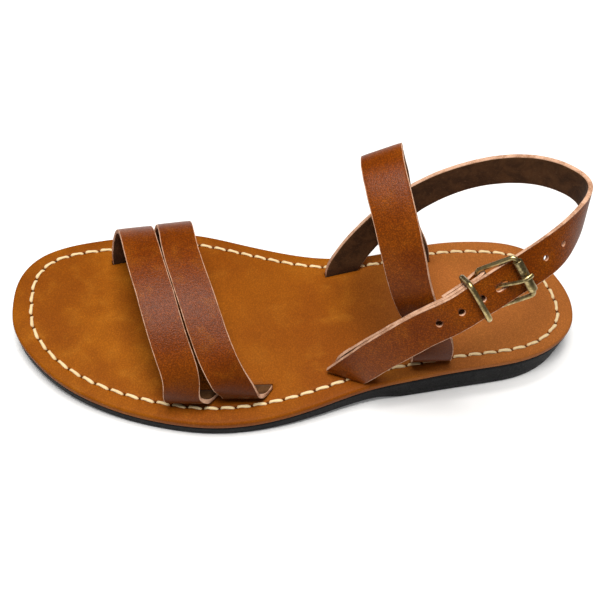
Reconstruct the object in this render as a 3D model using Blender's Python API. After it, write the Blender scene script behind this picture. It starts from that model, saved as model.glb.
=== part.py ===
"""Left leather sandal: flat leather footbed on a black rubber sole with a low heel,
two toe straps, an instep strap, and an ankle strap closed by a roller buckle.

Sizes are in millimetres in the tables below and are turned to metres on the way in.
X runs from the toe (minus) to the heel (plus), Y from the outer side of the left foot
(minus) to the inner side (plus), Z is up. The origin is the middle of the heel's tread.
"""
import math

import bmesh
import bpy
import numpy as np
from mathutils import Matrix
from mathutils import Vector

MM = 0.001

# Sole
FOOTBED_THICKNESS = 4.0
JOINT_GAP = 0.3
HEEL_BACK_UNDERCUT = 2.0
HEEL_BACK_FROM = 18.0
HEEL_BACK_LENGTH = 28.0
SIDE_STEP = 0.15
SLOT_WIDTH = 3.4
SLOT_END_ROOM = 1.1
POCKET_DEPTH = 2.2
POCKET_WIDTH = 13.2
POCKET_IN = 4.1
STRIP = 9.0
OUTLINE_STEP = 7.0

# Straps
STRAP_THICKNESS = 2.0
FRONT_STRAP_WIDTH = 15.9
REAR_STRAP_WIDTH = 16.1
INSTEP_STRAP_WIDTH = 18.0
ANKLE_STRAP_WIDTH = 16.5
LAYER_OFFSETS = (2.4, 2.5, 3.0)
STRAP_STEP = 4.0
MOST_SHEAR = 0.9

# Buckle, as distances along the ankle strap from the buckle's middle, heel side plus
BUCKLE_MIDDLE = (-5.0, -32.8, 70.2)
BUCKLE_AXIS = (0.853, 0.331, 0.405)
BUCKLE_UP = (-0.52, 0.43, 0.74)
BAR_AT = (-3.4, -4.8)
ROLLER_AT = (12.0, 3.4)
KEEPER_AT = -9.2
HOLE_AT = 3.0
HOLE_PITCH = 10.2
HOLES_TO_HEEL = 3
HOLES_TO_TIP = 3
HOLE_RADIUS = 1.5
PRONG_HOLE_LENGTH = 6.4
WIRE_RADIUS = 1.0
KEEPER_WIRE_RADIUS = 1.1
PRONG_RADIUS = 0.85
ROLLER_RADIUS = 2.0
ROLLER_BORE = 1.3
HARDWARE_SIDE_ROOM = 1.55
KEEPER_SIDE_ROOM = 1.45
HARDWARE_HALF_WIDTH = ANKLE_STRAP_WIDTH / 2.0 + HARDWARE_SIDE_ROOM
KEEPER_HALF_WIDTH = ANKLE_STRAP_WIDTH / 2.0 + KEEPER_SIDE_ROOM
KEEPER_TOP = 2.5
KEEPER_LOW = -8.3
KEEPER_DOME = 0.7
PRONG_CUT = (7.6, 2.8)

# Plan of the footbed, anticlockwise from the back of the heel: along, across
OUTLINE = (
    (51.0, -2.0), (49.8, 6.5), (46.0, 17.0), (38.5, 29.0), (27.0, 35.0), (13.0, 37.2),
    (-8.0, 37.3), (-30.0, 34.3), (-48.5, 32.6), (-66.5, 34.3), (-90.5, 41.7),
    (-115.0, 51.3), (-134.0, 56.8), (-152.0, 57.6), (-176.0, 54.6), (-190.0, 51.2),
    (-200.0, 47.2), (-208.0, 41.8), (-214.0, 34.0), (-217.3, 24.5), (-218.0, 13.5),
    (-215.6, -1.8), (-209.0, -13.6), (-194.0, -29.3), (-172.0, -42.5), (-152.5, -49.8),
    (-126.0, -55.3), (-108.0, -55.4), (-77.0, -49.8), (-54.0, -43.8), (-34.0, -41.2),
    (-3.0, -37.6), (22.0, -33.8), (38.0, -26.6), (47.6, -16.8), (50.3, -9.5),
)

# Height of the footbed's top along the foot: along, height
FOOTBED_TOP = (
    (-219.0, 15.0), (-196.0, 12.2), (-176.0, 10.4), (-156.0, 9.5), (-126.0, 9.4),
    (-111.0, 9.6), (-96.0, 10.5), (-76.0, 12.4), (-56.0, 14.7), (-36.0, 16.9), (-16.0, 18.4),
    (14.0, 18.8), (52.0, 18.8),
)

# Height of the sole's underside along the foot: along, height
TREAD = (
    (-219.0, 5.5), (-196.0, 2.8), (-176.0, 1.0), (-158.0, 0.0), (-112.0, 0.0), (-96.0, 0.5),
    (-76.0, 1.4), (-60.0, 2.2), (-50.0, 2.6), (-36.0, 0.0), (52.0, 0.0),
)

# Slots through the footbed: along, across, turn of the slot in degrees, strap width
SLOTS = {
    "front_outer": (-129.6, -38.7, -4.6, FRONT_STRAP_WIDTH),
    "front_inner": (-165.5, 40.6, 14.0, FRONT_STRAP_WIDTH),
    "rear_outer": (-105.6, -37.7, -4.0, REAR_STRAP_WIDTH),
    "rear_inner": (-145.7, 41.9, 14.0, REAR_STRAP_WIDTH),
    "instep_outer": (-24.0, -28.2, -3.4, INSTEP_STRAP_WIDTH),
    "instep_inner": (-23.9, 26.1, 0.0, INSTEP_STRAP_WIDTH),
    "ankle_inner": (-59.0, 23.8, 7.5, ANKLE_STRAP_WIDTH),
    "buckle_outer": (-60.2, -29.1, 13.1, ANKLE_STRAP_WIDTH),
}

# Strap end below the footbed's top: out from the slot, up, along the slot, thickness
TAB = (
    (-9.5, -5.15, 0.0, 1.2), (-6.0, -5.15, 0.0, 1.2), (-3.2, -5.15, 0.0, 1.2),
    (-1.35, -4.8, 0.0, 1.3), (-0.3, -3.8, 0.0, 1.5), (0.0, -2.3, 0.0, 1.8),
    (0.0, -0.7, 0.0, 2.0),
)

# Outer end above the footbed, where the strap flops outward and turns up again
CURL = (
    (0.4, 0.65, 0.0, 2.0), (1.9, 1.9, -0.9, 2.0), (4.1, 2.3, -2.4, 2.0), (6.3, 3.1, -4.3, 2.0),
    (7.6, 5.0, -5.7, 2.0), (8.2, 8.0, -6.9, 2.0),
)

# Outer end of the buckle strap, which turns toward its slot inside the ankle strap's tip
BUCKLE_STRAP_FOOT = (
    (-58.9, -35.3, 23.4, -0.87, 0.26, 0.32), (-59.9, -32.2, 19.2, -0.95, 0.0, 0.12),
)

# Straps from the outer slot to the inner slot:
# along, across, up, then the direction of the strap's width toward the heel
FRONT_STRAP = (
    (-137.2, -43.8, 25.0, 0.96, 0.22, 0.16), (-140.6, -32.3, 36.8, 0.96, 0.28, 0.09),
    (-146.6, -11.7, 46.0, 0.96, 0.27, 0.02), (-152.9, 11.9, 48.1, 0.97, 0.24, -0.04),
    (-157.5, 31.1, 41.8, 0.97, 0.22, -0.11), (-162.2, 41.3, 28.0, 0.96, 0.23, -0.14),
)
REAR_STRAP = (
    (-116.6, -43.0, 25.7, 0.93, 0.27, 0.24), (-123.2, -31.2, 36.3, 0.95, 0.3, 0.11),
    (-129.8, -10.3, 45.2, 0.96, 0.28, 0.01), (-136.2, 13.5, 47.6, 0.97, 0.22, -0.05),
    (-139.6, 33.4, 42.2, 0.97, 0.2, -0.1), (-143.0, 42.8, 28.2, 0.96, 0.24, -0.13),
)
INSTEP_STRAP = (
    (-26.2, -34.4, 34.0, 0.93, -0.27, 0.25), (-34.5, -29.8, 52.8, 0.87, -0.33, 0.37),
    (-42.9, -20.5, 77.2, 0.91, -0.21, 0.36), (-48.2, -4.0, 94.6, 0.94, -0.04, 0.33),
    (-49.8, 11.5, 99.4, 0.95, 0.06, 0.31), (-48.0, 23.5, 95.4, 0.95, 0.11, 0.3),
    (-44.4, 29.8, 83.4, 0.95, 0.12, 0.29), (-40.0, 31.0, 69.4, 0.95, 0.1, 0.28),
    (-34.6, 29.9, 46.2, 0.95, 0.07, 0.29),
)

# Ankle strap from the inner slot round the heel to the buckle, and on to its tip
ANKLE_TO_BUCKLE = (
    (-54.6, 27.0, 23.8, -0.92, -0.06, 0.38), (-42.8, 32.9, 36.3, -0.81, 0.0, 0.58),
    (-26.4, 36.7, 51.3, -0.66, 0.03, 0.75), (-5.8, 35.7, 66.1, -0.49, 0.01, 0.87),
    (15.6, 28.4, 78.0, -0.31, 0.05, 0.95), (32.2, 15.9, 84.4, -0.19, 0.04, 0.98),
    (38.6, 3.6, 85.7, -0.1, 0.0, 0.99), (31.0, -11.2, 82.6, -0.17, 0.25, 0.95),
)
STRAIGHT_AT_BUCKLE = (18.0, 12.0, 6.0, 0.0, -6.0, -12.0, -18.0)
ANKLE_TO_TIP = (
    (-33.4, -40.4, 54.6, -0.5, 0.48, 0.72), (-43.4, -41.0, 45.8, -0.57, 0.47, 0.67),
    (-52.6, -40.6, 35.2, -0.66, 0.45, 0.6), (-59.8, -39.4, 24.0, -0.77, 0.44, 0.42),
    (-64.0, -37.5, 15.5, -0.9, 0.42, 0.05),
)

# Folded end of the buckle strap at the bar: along, out of the ankle strap
FOLD = (
    (-20.5, -4.95), (-17.0, -4.95), (-13.6, -4.95), (-10.9, -5.1), (-8.1, -5.8), (-5.4, -6.95),
    (-3.4, -7.2), (-1.7, -6.5), (-1.0, -4.8), (-1.7, -3.1), (-3.4, -2.4), (-8.0, -2.4),
    (-12.5, -2.4), (-17.0, -2.4),
)

# Prong beyond its loop on the bar: along, out of the ankle strap
PRONG = (
    (-1.0, -2.6), (1.2, -1.3), (2.9, 0.3), (4.9, 2.1), (7.5, 4.6), (9.8, 6.15), (12.0, 6.65),
    (14.0, 6.4),
)

LEATHER_STRAP = ((0.33, 0.115, 0.035, 1.0), 0.45, 0.0)
LEATHER_FOOTBED = ((0.47, 0.19, 0.055, 1.0), 0.5, 0.0)
RUBBER = ((0.02, 0.02, 0.022, 1.0), 0.6, 0.0)
BRASS = ((0.42, 0.32, 0.13, 1.0), 0.35, 1.0)


def clear_file():
    """Remove every object of the start file."""
    for thing in list(bpy.data.objects):
        bpy.data.objects.remove(thing, do_unlink=True)


def material(name, look):
    """A plain material from a colour, a roughness and a metallic value."""
    colour, roughness, metallic = look
    made = bpy.data.materials.new(name)
    made.use_nodes = True
    shader = made.node_tree.nodes["Principled BSDF"]
    shader.inputs["Base Color"].default_value = colour
    shader.inputs["Roughness"].default_value = roughness
    shader.inputs["Metallic"].default_value = metallic
    return made


def natural_spline(points, steps):
    """Cubic spline through the rows, spaced by chord length, sampled between them."""
    rows = np.array(points, float)
    gaps = np.linalg.norm(np.diff(rows[:, :3], axis=0), axis=1)
    count = len(rows)
    system = np.zeros((count, count))
    right = np.zeros_like(rows)
    system[0, 0] = 1.0
    system[-1, -1] = 1.0
    for i in range(1, count - 1):
        before, after = gaps[i - 1], gaps[i]
        system[i, i - 1:i + 2] = before, 2.0 * (before + after), after
        right[i] = 6.0 * ((rows[i + 1] - rows[i]) / after - (rows[i] - rows[i - 1]) / before)
    bend = np.linalg.solve(system, right)
    made = []
    for i in range(count - 1):
        gap = gaps[i]
        for t in np.arange(steps[i]) / steps[i]:
            a, b = 1.0 - t, t
            value = a * rows[i] + b * rows[i + 1]
            value = value + ((a ** 3 - a) * bend[i] + (b ** 3 - b) * bend[i + 1]) * gap ** 2 / 6.0
            made.append(value)
    made.append(rows[-1])
    return np.array(made)


def closed_spline(points, step):
    """Closed smooth curve through plan points."""
    wrap = 6
    rows = [(x, y, 0.0) for x, y in points]
    rows = rows[-wrap:] + rows + rows[:wrap]
    gaps = np.linalg.norm(np.diff(np.array(rows), axis=0), axis=1)
    steps = [max(2, round(gap / step)) for gap in gaps]
    curve = natural_spline(rows, steps)
    first = sum(steps[:wrap])
    last = first + sum(steps[wrap:wrap + len(points)])
    return curve[first:last, :2]


def height(table, x):
    """Smooth height without overshoot from a table of along, height."""
    xs = np.array([row[0] for row in table])
    zs = np.array([row[1] for row in table])
    x = min(max(x, xs[0]), xs[-1])
    slopes = np.diff(zs) / np.diff(xs)
    tangents = np.zeros(len(xs))
    for i in range(1, len(xs) - 1):
        if slopes[i - 1] * slopes[i] > 0:
            tangents[i] = 2.0 * slopes[i - 1] * slopes[i] / (slopes[i - 1] + slopes[i])
    tangents[0] = slopes[0]
    tangents[-1] = slopes[-1]
    i = min(int(np.searchsorted(xs, x, side="right")) - 1, len(xs) - 2)
    gap = xs[i + 1] - xs[i]
    t = (x - xs[i]) / gap
    value = (2 * t ** 3 - 3 * t ** 2 + 1) * zs[i] + (t ** 3 - 2 * t ** 2 + t) * gap * tangents[i]
    value += (-2 * t ** 3 + 3 * t ** 2) * zs[i + 1] + (t ** 3 - t ** 2) * gap * tangents[i + 1]
    return float(value)


def inset(curve, amount):
    """Move a closed plan curve inward by a number or by one number a point."""
    ahead = np.roll(curve, -1, axis=0) - np.roll(curve, 1, axis=0)
    ahead /= np.linalg.norm(ahead, axis=1)[:, None]
    inward = np.stack([-ahead[:, 1], ahead[:, 0]], axis=1)
    return curve + inward * np.reshape(amount, (-1, 1))


def link(name, bm, look):
    """Make an object of a bmesh given in millimetres."""
    bmesh.ops.remove_doubles(bm, verts=bm.verts, dist=0.001)
    bmesh.ops.recalc_face_normals(bm, faces=bm.faces)
    mesh = bpy.data.meshes.new(name)
    bm.to_mesh(mesh)
    bm.free()
    mesh.transform(Matrix.Scale(MM, 4))
    mesh.materials.append(material(name + "_material", look))
    thing = bpy.data.objects.new(name, mesh)
    bpy.context.scene.collection.objects.link(thing)
    return thing


def cut(thing, cutters):
    """Take the cutters' volume out of an object."""
    for cutter in cutters:
        step = thing.modifiers.new("cut", "BOOLEAN")
        step.operation = "DIFFERENCE"
        step.solver = "EXACT"
        step.object = cutter
        view = bpy.context.evaluated_depsgraph_get()
        mesh = bpy.data.meshes.new_from_object(thing.evaluated_get(view))
        thing.modifiers.clear()
        old = thing.data
        thing.data = mesh
        bpy.data.meshes.remove(old)
        bpy.data.objects.remove(cutter, do_unlink=True)


def slab(name, rings, look):
    """A flat closed body from plan rings listed upward as curve, height."""
    bm = bmesh.new()
    levels = [[bm.verts.new((x, y, z)) for x, y in curve] for curve, z in rings]
    for low, high in zip(levels, levels[1:]):
        for i in range(len(low)):
            j = (i + 1) % len(low)
            bm.faces.new((low[i], low[j], high[j], high[i]))
    bm.faces.new(levels[0])
    bm.faces.new(levels[-1])
    return link(name, bm, look)


def block(centre, turn, size, low, high):
    """A box between two heights, turned in plan; sizes in millimetres."""
    bm = bmesh.new()
    bmesh.ops.create_cube(bm, size=1.0)
    for corner in bm.verts:
        corner.co.x *= size[0]
        corner.co.y *= size[1]
        corner.co.z = high if corner.co.z > 0 else low
    place = Matrix.Translation(Vector((centre[0], centre[1], 0.0)))
    bm.transform(place @ Matrix.Rotation(math.radians(turn), 4, "Z"))
    return link("cutter", bm, RUBBER)


def bend_to_foot(thing, surface, extra_cuts=()):
    """Slice a flat body across the foot and lift it onto a surface."""
    bm = bmesh.new()
    bm.from_mesh(thing.data)
    places = list(np.arange(-216.0, 51.0, STRIP)) + list(extra_cuts)
    for x in places:
        parts = bm.verts[:] + bm.edges[:] + bm.faces[:]
        bmesh.ops.bisect_plane(bm, geom=parts, dist=1e-7, plane_co=(x * MM, 0.0, 0.0), plane_no=(1.0, 0.0, 0.0))
    for vertex in bm.verts:
        vertex.co.z = surface(vertex.co.x / MM, vertex.co.z / MM) * MM
    bm.to_mesh(thing.data)
    bm.free()


def slot_frame(name):
    """Slot centre, direction along the slot, and direction out of the foot."""
    x, y, turn, _ = SLOTS[name]
    along = np.array([math.cos(math.radians(turn)), math.sin(math.radians(turn)), 0.0])
    out = np.array([along[1], -along[0], 0.0])
    if y > 0:
        out = -out
    return np.array([x, y, 0.0]), along, out


def build_footbed():
    """Leather footbed with a rounded edge and a slot for every strap end."""
    outline = closed_spline(OUTLINE, OUTLINE_STEP)
    low = -FOOTBED_THICKNESS
    rings = (
        (inset(outline, 0.55), low), (outline, low + 0.6), (outline, -1.6),
        (inset(outline, 0.45), -0.5), (inset(outline, 1.5), 0.0),
    )
    thing = slab("footbed", rings, LEATHER_FOOTBED)
    cutters = []
    for x, y, turn, width in SLOTS.values():
        size = (width + 2.0 * SLOT_END_ROOM, SLOT_WIDTH)
        cutters.append(block((x, y), turn, size, low - 2.0, 2.0))
    cut(thing, cutters)
    bend_to_foot(thing, lambda x, z: height(FOOTBED_TOP, x) + z)
    return thing


def build_outsole():
    """Black rubber sole with its low heel, and a pocket for every strap end."""
    outline = closed_spline(OUTLINE, OUTLINE_STEP)
    back = np.clip((outline[:, 0] - HEEL_BACK_FROM) / HEEL_BACK_LENGTH, 0.0, 1.0)
    foot = SIDE_STEP + (HEEL_BACK_UNDERCUT - SIDE_STEP) * back ** 1.5
    deep = -100.0
    rings = (
        (inset(outline, foot + 0.8), deep), (inset(outline, foot), deep + 0.8),
        (inset(outline, SIDE_STEP), -0.7), (inset(outline, SIDE_STEP + 0.2), 0.0),
    )
    thing = slab("outsole", rings, RUBBER)
    cutters = []
    for name, (_, _, turn, width) in SLOTS.items():
        centre, _, out = slot_frame(name)
        middle = centre - out * POCKET_IN
        size = (width + 2.0 * SLOT_END_ROOM, POCKET_WIDTH)
        cutters.append(block(middle, turn, size, -POCKET_DEPTH, 5.0))
    cut(thing, cutters)

    def surface(x, z):
        top = height(FOOTBED_TOP, x) - FOOTBED_THICKNESS - JOINT_GAP
        low = height(TREAD, x)
        if z > -5.0:
            return top + z
        if z < deep + 1.0:
            return low + z - deep
        share = (z - deep - 0.8) / (-0.7 - deep - 0.8)
        return (low + 0.8) * (1.0 - share) + (top - 0.7) * share

    bend_to_foot(thing, surface, (-158.0, -112.0, -50.0, -36.0))
    return thing


def end_rows(slot, profile, lean=0.0, reverse=False):
    """Strap rows at a slot; the lean scales how far the strap drifts along the slot."""
    centre, along, out = slot_frame(slot)
    rows = []
    for outward, up, drift, thick in profile:
        place = centre + out * outward + along * drift * lean
        base = height(FOOTBED_TOP, place[0])
        slope = (height(FOOTBED_TOP, place[0] + 6.0) - height(FOOTBED_TOP, place[0] - 6.0)) / 12.0
        direction = along + np.array([0.0, 0.0, slope * along[0]])
        direction = -direction if reverse else direction
        rows.append((*place[:2], base + up, *direction, thick))
    return rows


def thick_rows(rows):
    """Give strap rows the full strap thickness."""
    return [(*row, STRAP_THICKNESS) for row in rows]


def path_of(rows):
    """Sample strap rows into centres, width directions, outward directions, thicknesses."""
    rows = np.array(rows, float)
    gaps = np.linalg.norm(np.diff(rows[:, :3], axis=0), axis=1)
    steps = [max(1, round(gap / STRAP_STEP)) for gap in gaps]
    steps = [2 if 1.2 < gap < STRAP_STEP * 1.5 else step for gap, step in zip(gaps, steps)]
    curve = natural_spline(rows, steps)
    centre = curve[:, :3]
    ahead = np.gradient(centre, axis=0)
    ahead /= np.linalg.norm(ahead, axis=1)[:, None]
    wide = curve[:, 3:6] / np.linalg.norm(curve[:, 3:6], axis=1)[:, None]
    square = wide - ahead * (ahead * wide).sum(axis=1)[:, None]
    spread = np.linalg.norm(square, axis=1)[:, None]
    side = np.cross(ahead, square / spread)
    return centre, wide / np.maximum(spread, MOST_SHEAR), side, curve[:, 6]


def ribbon(name, path, width, look=LEATHER_STRAP):
    """A strap of real thickness with softened long edges."""
    centre, wide, side, thick = path
    half = width / 2.0
    soft = 0.3
    bm = bmesh.new()
    rings = []
    for c, w, s, t in zip(centre, wide, side, thick):
        deep = t / 2.0
        profile = (
            (half, deep - soft), (half - soft, deep), (soft - half, deep), (-half, deep - soft),
            (-half, soft - deep), (soft - half, -deep), (half - soft, -deep), (half, soft - deep),
        )
        rings.append([bm.verts.new(c + w * a + s * b) for a, b in profile])
    for low, high in zip(rings, rings[1:]):
        for i in range(8):
            j = (i + 1) % 8
            bm.faces.new((low[i], low[j], high[j], high[i]))
    bm.faces.new(rings[0])
    bm.faces.new(rings[-1])
    return link(name, bm, look)


def build_cross_strap(name, rows, outer, inner, width, lean):
    """A strap from its outer slot over the foot to its inner slot."""
    start = end_rows(outer, TAB + CURL, lean)
    finish = end_rows(inner, TAB)[::-1]
    return ribbon(name, path_of(start + thick_rows(rows) + finish), width)


def buckle_frame():
    """Axes at the buckle: middle, along to the heel, up the strap, out of the strap."""
    middle = np.array(BUCKLE_MIDDLE)
    along = np.array(BUCKLE_AXIS)
    along /= np.linalg.norm(along)
    up = np.array(BUCKLE_UP)
    up -= along * np.dot(along, up)
    up /= np.linalg.norm(up)
    out = np.cross(along, up)
    if out[1] > 0:
        out = -out
    return middle, along, up, out


def at_buckle(along, up, out):
    """Point in the sandal's frame from distances at the buckle."""
    middle, a, u, o = buckle_frame()
    return middle + a * along + u * up + o * out


def ankle_rows():
    """Rows of the ankle strap from the inner slot to its tip."""
    _, _, up, _ = buckle_frame()
    straight = [(*at_buckle(s, 0.0, 0.0), *up) for s in STRAIGHT_AT_BUCKLE]
    start = end_rows("ankle_inner", TAB, reverse=True)
    return start + thick_rows(ANKLE_TO_BUCKLE + tuple(straight) + ANKLE_TO_TIP)


def along_path(path, distance_from_buckle):
    """Place on the ankle strap at a distance from the buckle's middle toward the heel."""
    centre, wide, side, _ = path
    run = np.concatenate([[0.0], np.cumsum(np.linalg.norm(np.diff(centre, axis=0), axis=1))])
    middle = run[np.argmin(np.linalg.norm(centre - np.array(BUCKLE_MIDDLE), axis=1))]
    place = middle - distance_from_buckle
    values = []
    for part in (centre, wide, side):
        values.append(np.array([np.interp(place, run, part[:, k]) for k in range(3)]))
    return values


def round_cutter(centre, axis, radius, length, stretch, stretch_axis):
    """A punch through a strap, round or drawn out along one direction."""
    axis = axis / np.linalg.norm(axis)
    first = stretch_axis - axis * np.dot(axis, stretch_axis)
    first /= np.linalg.norm(first)
    second = np.cross(axis, first)
    bm = bmesh.new()
    loops = [[], []]
    for i in range(16):
        angle = math.tau * (i + 0.5) / 16.0
        shift = math.copysign(stretch / 2.0, math.cos(angle))
        flat = first * (radius * math.cos(angle) + shift) + second * radius * math.sin(angle)
        loops[0].append(bm.verts.new(centre + flat - axis * length / 2.0))
        loops[1].append(bm.verts.new(centre + flat + axis * length / 2.0))
    for i in range(16):
        j = (i + 1) % 16
        bm.faces.new((loops[0][i], loops[0][j], loops[1][j], loops[1][i]))
    bm.faces.new(loops[0])
    bm.faces.new(loops[1])
    return link("cutter", bm, RUBBER)


def build_ankle_strap():
    """Ankle strap with its row of punched holes."""
    path = path_of(ankle_rows())
    thing = ribbon("ankle_strap", path, ANKLE_STRAP_WIDTH)
    cutters = []
    for k in range(-HOLES_TO_TIP, HOLES_TO_HEEL + 1):
        centre, wide, side = along_path(path, HOLE_AT + k * HOLE_PITCH)
        run = np.cross(wide, side)
        stretch = PRONG_HOLE_LENGTH - 2.0 * HOLE_RADIUS if k == 0 else 0.0
        if k == 0:
            _, along, _, _ = buckle_frame()
            centre = centre - along * 0.7
        cutters.append(round_cutter(centre, side, HOLE_RADIUS, 6.0, stretch, run))
    cut(thing, cutters)
    return thing


def build_buckle_strap():
    """Short strap folded round the buckle's bar, running inside the ankle strap's end."""
    _, _, up, _ = buckle_frame()
    fold = [(*at_buckle(s, 0.0, n), *up, STRAP_THICKNESS) for s, n in FOLD]
    centre, wide, side, _ = path_of(ankle_rows())
    lower = []
    for row, offset in zip(ANKLE_TO_TIP, LAYER_OFFSETS):
        i = int(np.argmin(np.linalg.norm(centre - np.array(row[:3]), axis=1)))
        inward = side[i] if side[i][1] > 0 else -side[i]
        lower.append((*(centre[i] + inward * offset), *wide[i], STRAP_THICKNESS))
    finish = end_rows("buckle_outer", TAB + ((0.2, 0.8, 0.0, 2.0),), reverse=True)[::-1]
    rows = fold + lower + thick_rows(BUCKLE_STRAP_FOOT) + finish
    thing = ribbon("buckle_strap", path_of(rows), ANKLE_STRAP_WIDTH)
    long, wide = PRONG_CUT
    bm = bmesh.new()
    bmesh.ops.create_cube(bm, size=1.0)
    for corner in bm.verts:
        local = (BAR_AT[0] + corner.co.x * long, corner.co.y * wide, BAR_AT[1] + corner.co.z * long)
        corner.co = Vector(at_buckle(*local))
    cut(thing, [link("cutter", bm, RUBBER)])
    return thing


def wire(name, points, radius, closed, sides=10, look=BRASS):
    """Round wire along points in millimetres."""
    rows = np.array(points, float)
    count = len(rows)
    bm = bmesh.new()
    rings = []
    normal = None
    for i in range(count):
        if closed:
            ahead = rows[(i + 1) % count] - rows[i - 1]
        else:
            ahead = rows[min(i + 1, count - 1)] - rows[max(i - 1, 0)]
        ahead = ahead / np.linalg.norm(ahead)
        if normal is None:
            spread = rows - rows.mean(axis=0)
            normal = np.linalg.svd(spread)[2][2]
        first = normal - ahead * np.dot(normal, ahead)
        first /= np.linalg.norm(first)
        second = np.cross(ahead, first)
        ring = []
        for k in range(sides):
            angle = math.tau * k / sides
            ring.append(bm.verts.new(rows[i] + radius * (first * math.cos(angle) + second * math.sin(angle))))
        rings.append(ring)
    pairs = list(zip(rings, rings[1:]))
    if closed:
        pairs.append((rings[-1], rings[0]))
    for low, high in pairs:
        for k in range(sides):
            j = (k + 1) % sides
            bm.faces.new((low[k], low[j], high[j], high[k]))
    if not closed:
        bm.faces.new(rings[0])
        bm.faces.new(rings[-1])
    return link(name, bm, look)


def rounded_loop(corners, radius, steps=4):
    """Closed loop of points through corners with rounded turns."""
    corners = [np.array(corner, float) for corner in corners]
    made = []
    for i, corner in enumerate(corners):
        before = corners[i - 1] - corner
        after = corners[(i + 1) % len(corners)] - corner
        start = corner + before / np.linalg.norm(before) * radius
        finish = corner + after / np.linalg.norm(after) * radius
        for t in np.linspace(0.0, 1.0, steps):
            made.append((1 - t) ** 2 * start + 2 * t * (1 - t) * corner + t ** 2 * finish)
    return made


def build_buckle():
    """Brass frame, roller and prong."""
    half = HARDWARE_HALF_WIDTH
    corners = [
        at_buckle(BAR_AT[0], -half, BAR_AT[1]), at_buckle(ROLLER_AT[0], -half, ROLLER_AT[1]),
        at_buckle(ROLLER_AT[0], half, ROLLER_AT[1]), at_buckle(BAR_AT[0], half, BAR_AT[1]),
    ]
    wire("buckle_frame", rounded_loop(corners, 2.0), WIRE_RADIUS, True)

    _, along, up, out = buckle_frame()
    bm = bmesh.new()
    rings = []
    length = half - 2.1
    for place, radius in ((-length, ROLLER_RADIUS), (length, ROLLER_RADIUS), (length, ROLLER_BORE), (-length, ROLLER_BORE)):
        ring = []
        for k in range(20):
            angle = math.tau * k / 20.0
            centre = at_buckle(ROLLER_AT[0], place, ROLLER_AT[1])
            ring.append(bm.verts.new(centre + radius * (along * math.cos(angle) + out * math.sin(angle))))
        rings.append(ring)
    for low, high in zip(rings, rings[1:] + rings[:1]):
        for k in range(20):
            j = (k + 1) % 20
            bm.faces.new((low[k], low[j], high[j], high[k]))
    link("buckle_roller", bm, BRASS)

    loop = WIRE_RADIUS + 0.3 + PRONG_RADIUS
    path = []
    for degrees in (-45, -70, -95, -120, -145, -170, -195, -220, -245, -270):
        angle = math.radians(degrees)
        path.append((BAR_AT[0] + loop * math.cos(angle), BAR_AT[1] + loop * math.sin(angle), 0.0))
    rest = [(path[-1][0], path[-1][1], 0.0)] + [(s, n, 0.0) for s, n in PRONG]
    curve = natural_spline(rest, [2] * (len(rest) - 1))
    path = path[:-1] + [tuple(row) for row in curve]
    wire("buckle_prong", [at_buckle(s, 0.0, n) for s, n, _ in path], PRONG_RADIUS, False, sides=8)


def build_keeper():
    """Brass loop that holds the ankle strap's end down, domed on its outer side."""
    half = KEEPER_HALF_WIDTH
    top = KEEPER_TOP
    low = KEEPER_LOW
    corners = [
        at_buckle(KEEPER_AT, -half, low), at_buckle(KEEPER_AT, -half, top),
        at_buckle(KEEPER_AT, -half * 0.5, top + KEEPER_DOME), at_buckle(KEEPER_AT, half * 0.5, top + KEEPER_DOME),
        at_buckle(KEEPER_AT, half, top), at_buckle(KEEPER_AT, half, low),
    ]
    wire("strap_keeper", rounded_loop(corners, 2.2), KEEPER_WIRE_RADIUS, True)


def main():
    """Build every piece of the sandal."""
    clear_file()
    build_outsole()
    build_footbed()
    build_cross_strap("front_toe_strap", FRONT_STRAP, "front_outer", "front_inner", FRONT_STRAP_WIDTH, 1.0)
    build_cross_strap("rear_toe_strap", REAR_STRAP, "rear_outer", "rear_inner", REAR_STRAP_WIDTH, 0.92)
    build_cross_strap("instep_strap", INSTEP_STRAP, "instep_outer", "instep_inner", INSTEP_STRAP_WIDTH, 0.16)
    build_ankle_strap()
    build_buckle_strap()
    build_buckle()
    build_keeper()


main()
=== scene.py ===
"""Looks of a left leather sandal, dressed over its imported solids.

Tables and sizes are in millimetres and are turned to metres when a mesh is made.
X runs from the toe (minus) to the heel (plus), Y from the outer side of the foot
(minus) to the inner side (plus), Z is up. The origin is the middle of the heel's tread.
"""

import logging
import math
from dataclasses import dataclass, field
from enum import Enum
from typing import Callable, Sequence

import bmesh
import bpy
import numpy as np
from mathutils import Matrix, Vector, noise
from mathutils.geometry import delaunay_2d_cdt


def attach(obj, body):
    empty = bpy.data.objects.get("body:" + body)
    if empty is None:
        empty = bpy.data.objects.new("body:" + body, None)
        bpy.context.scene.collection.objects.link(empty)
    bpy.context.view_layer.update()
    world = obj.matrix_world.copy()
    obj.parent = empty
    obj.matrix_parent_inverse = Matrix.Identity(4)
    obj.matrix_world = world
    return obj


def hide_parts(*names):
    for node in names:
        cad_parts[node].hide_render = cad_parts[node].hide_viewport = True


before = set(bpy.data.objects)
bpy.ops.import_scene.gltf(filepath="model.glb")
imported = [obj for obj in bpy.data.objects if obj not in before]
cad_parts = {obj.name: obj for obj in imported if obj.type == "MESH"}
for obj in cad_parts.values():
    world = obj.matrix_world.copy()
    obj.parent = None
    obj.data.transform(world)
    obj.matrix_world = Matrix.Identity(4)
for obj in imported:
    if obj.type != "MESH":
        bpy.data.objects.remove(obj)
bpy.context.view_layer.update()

LOG = logging.getLogger("sandal")
MM = 0.001
Row = Sequence[float]
Colour = tuple[float, float, float]


class Face(Enum):
    """Which side of a strap a face belongs to; the value is its material slot."""

    GRAIN = 0
    FLESH = 1
    CUT = 2


class Mix(Enum):
    """How two colours are put together."""

    OVER = "MIX"
    TIMES = "MULTIPLY"


# Curves


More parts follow.
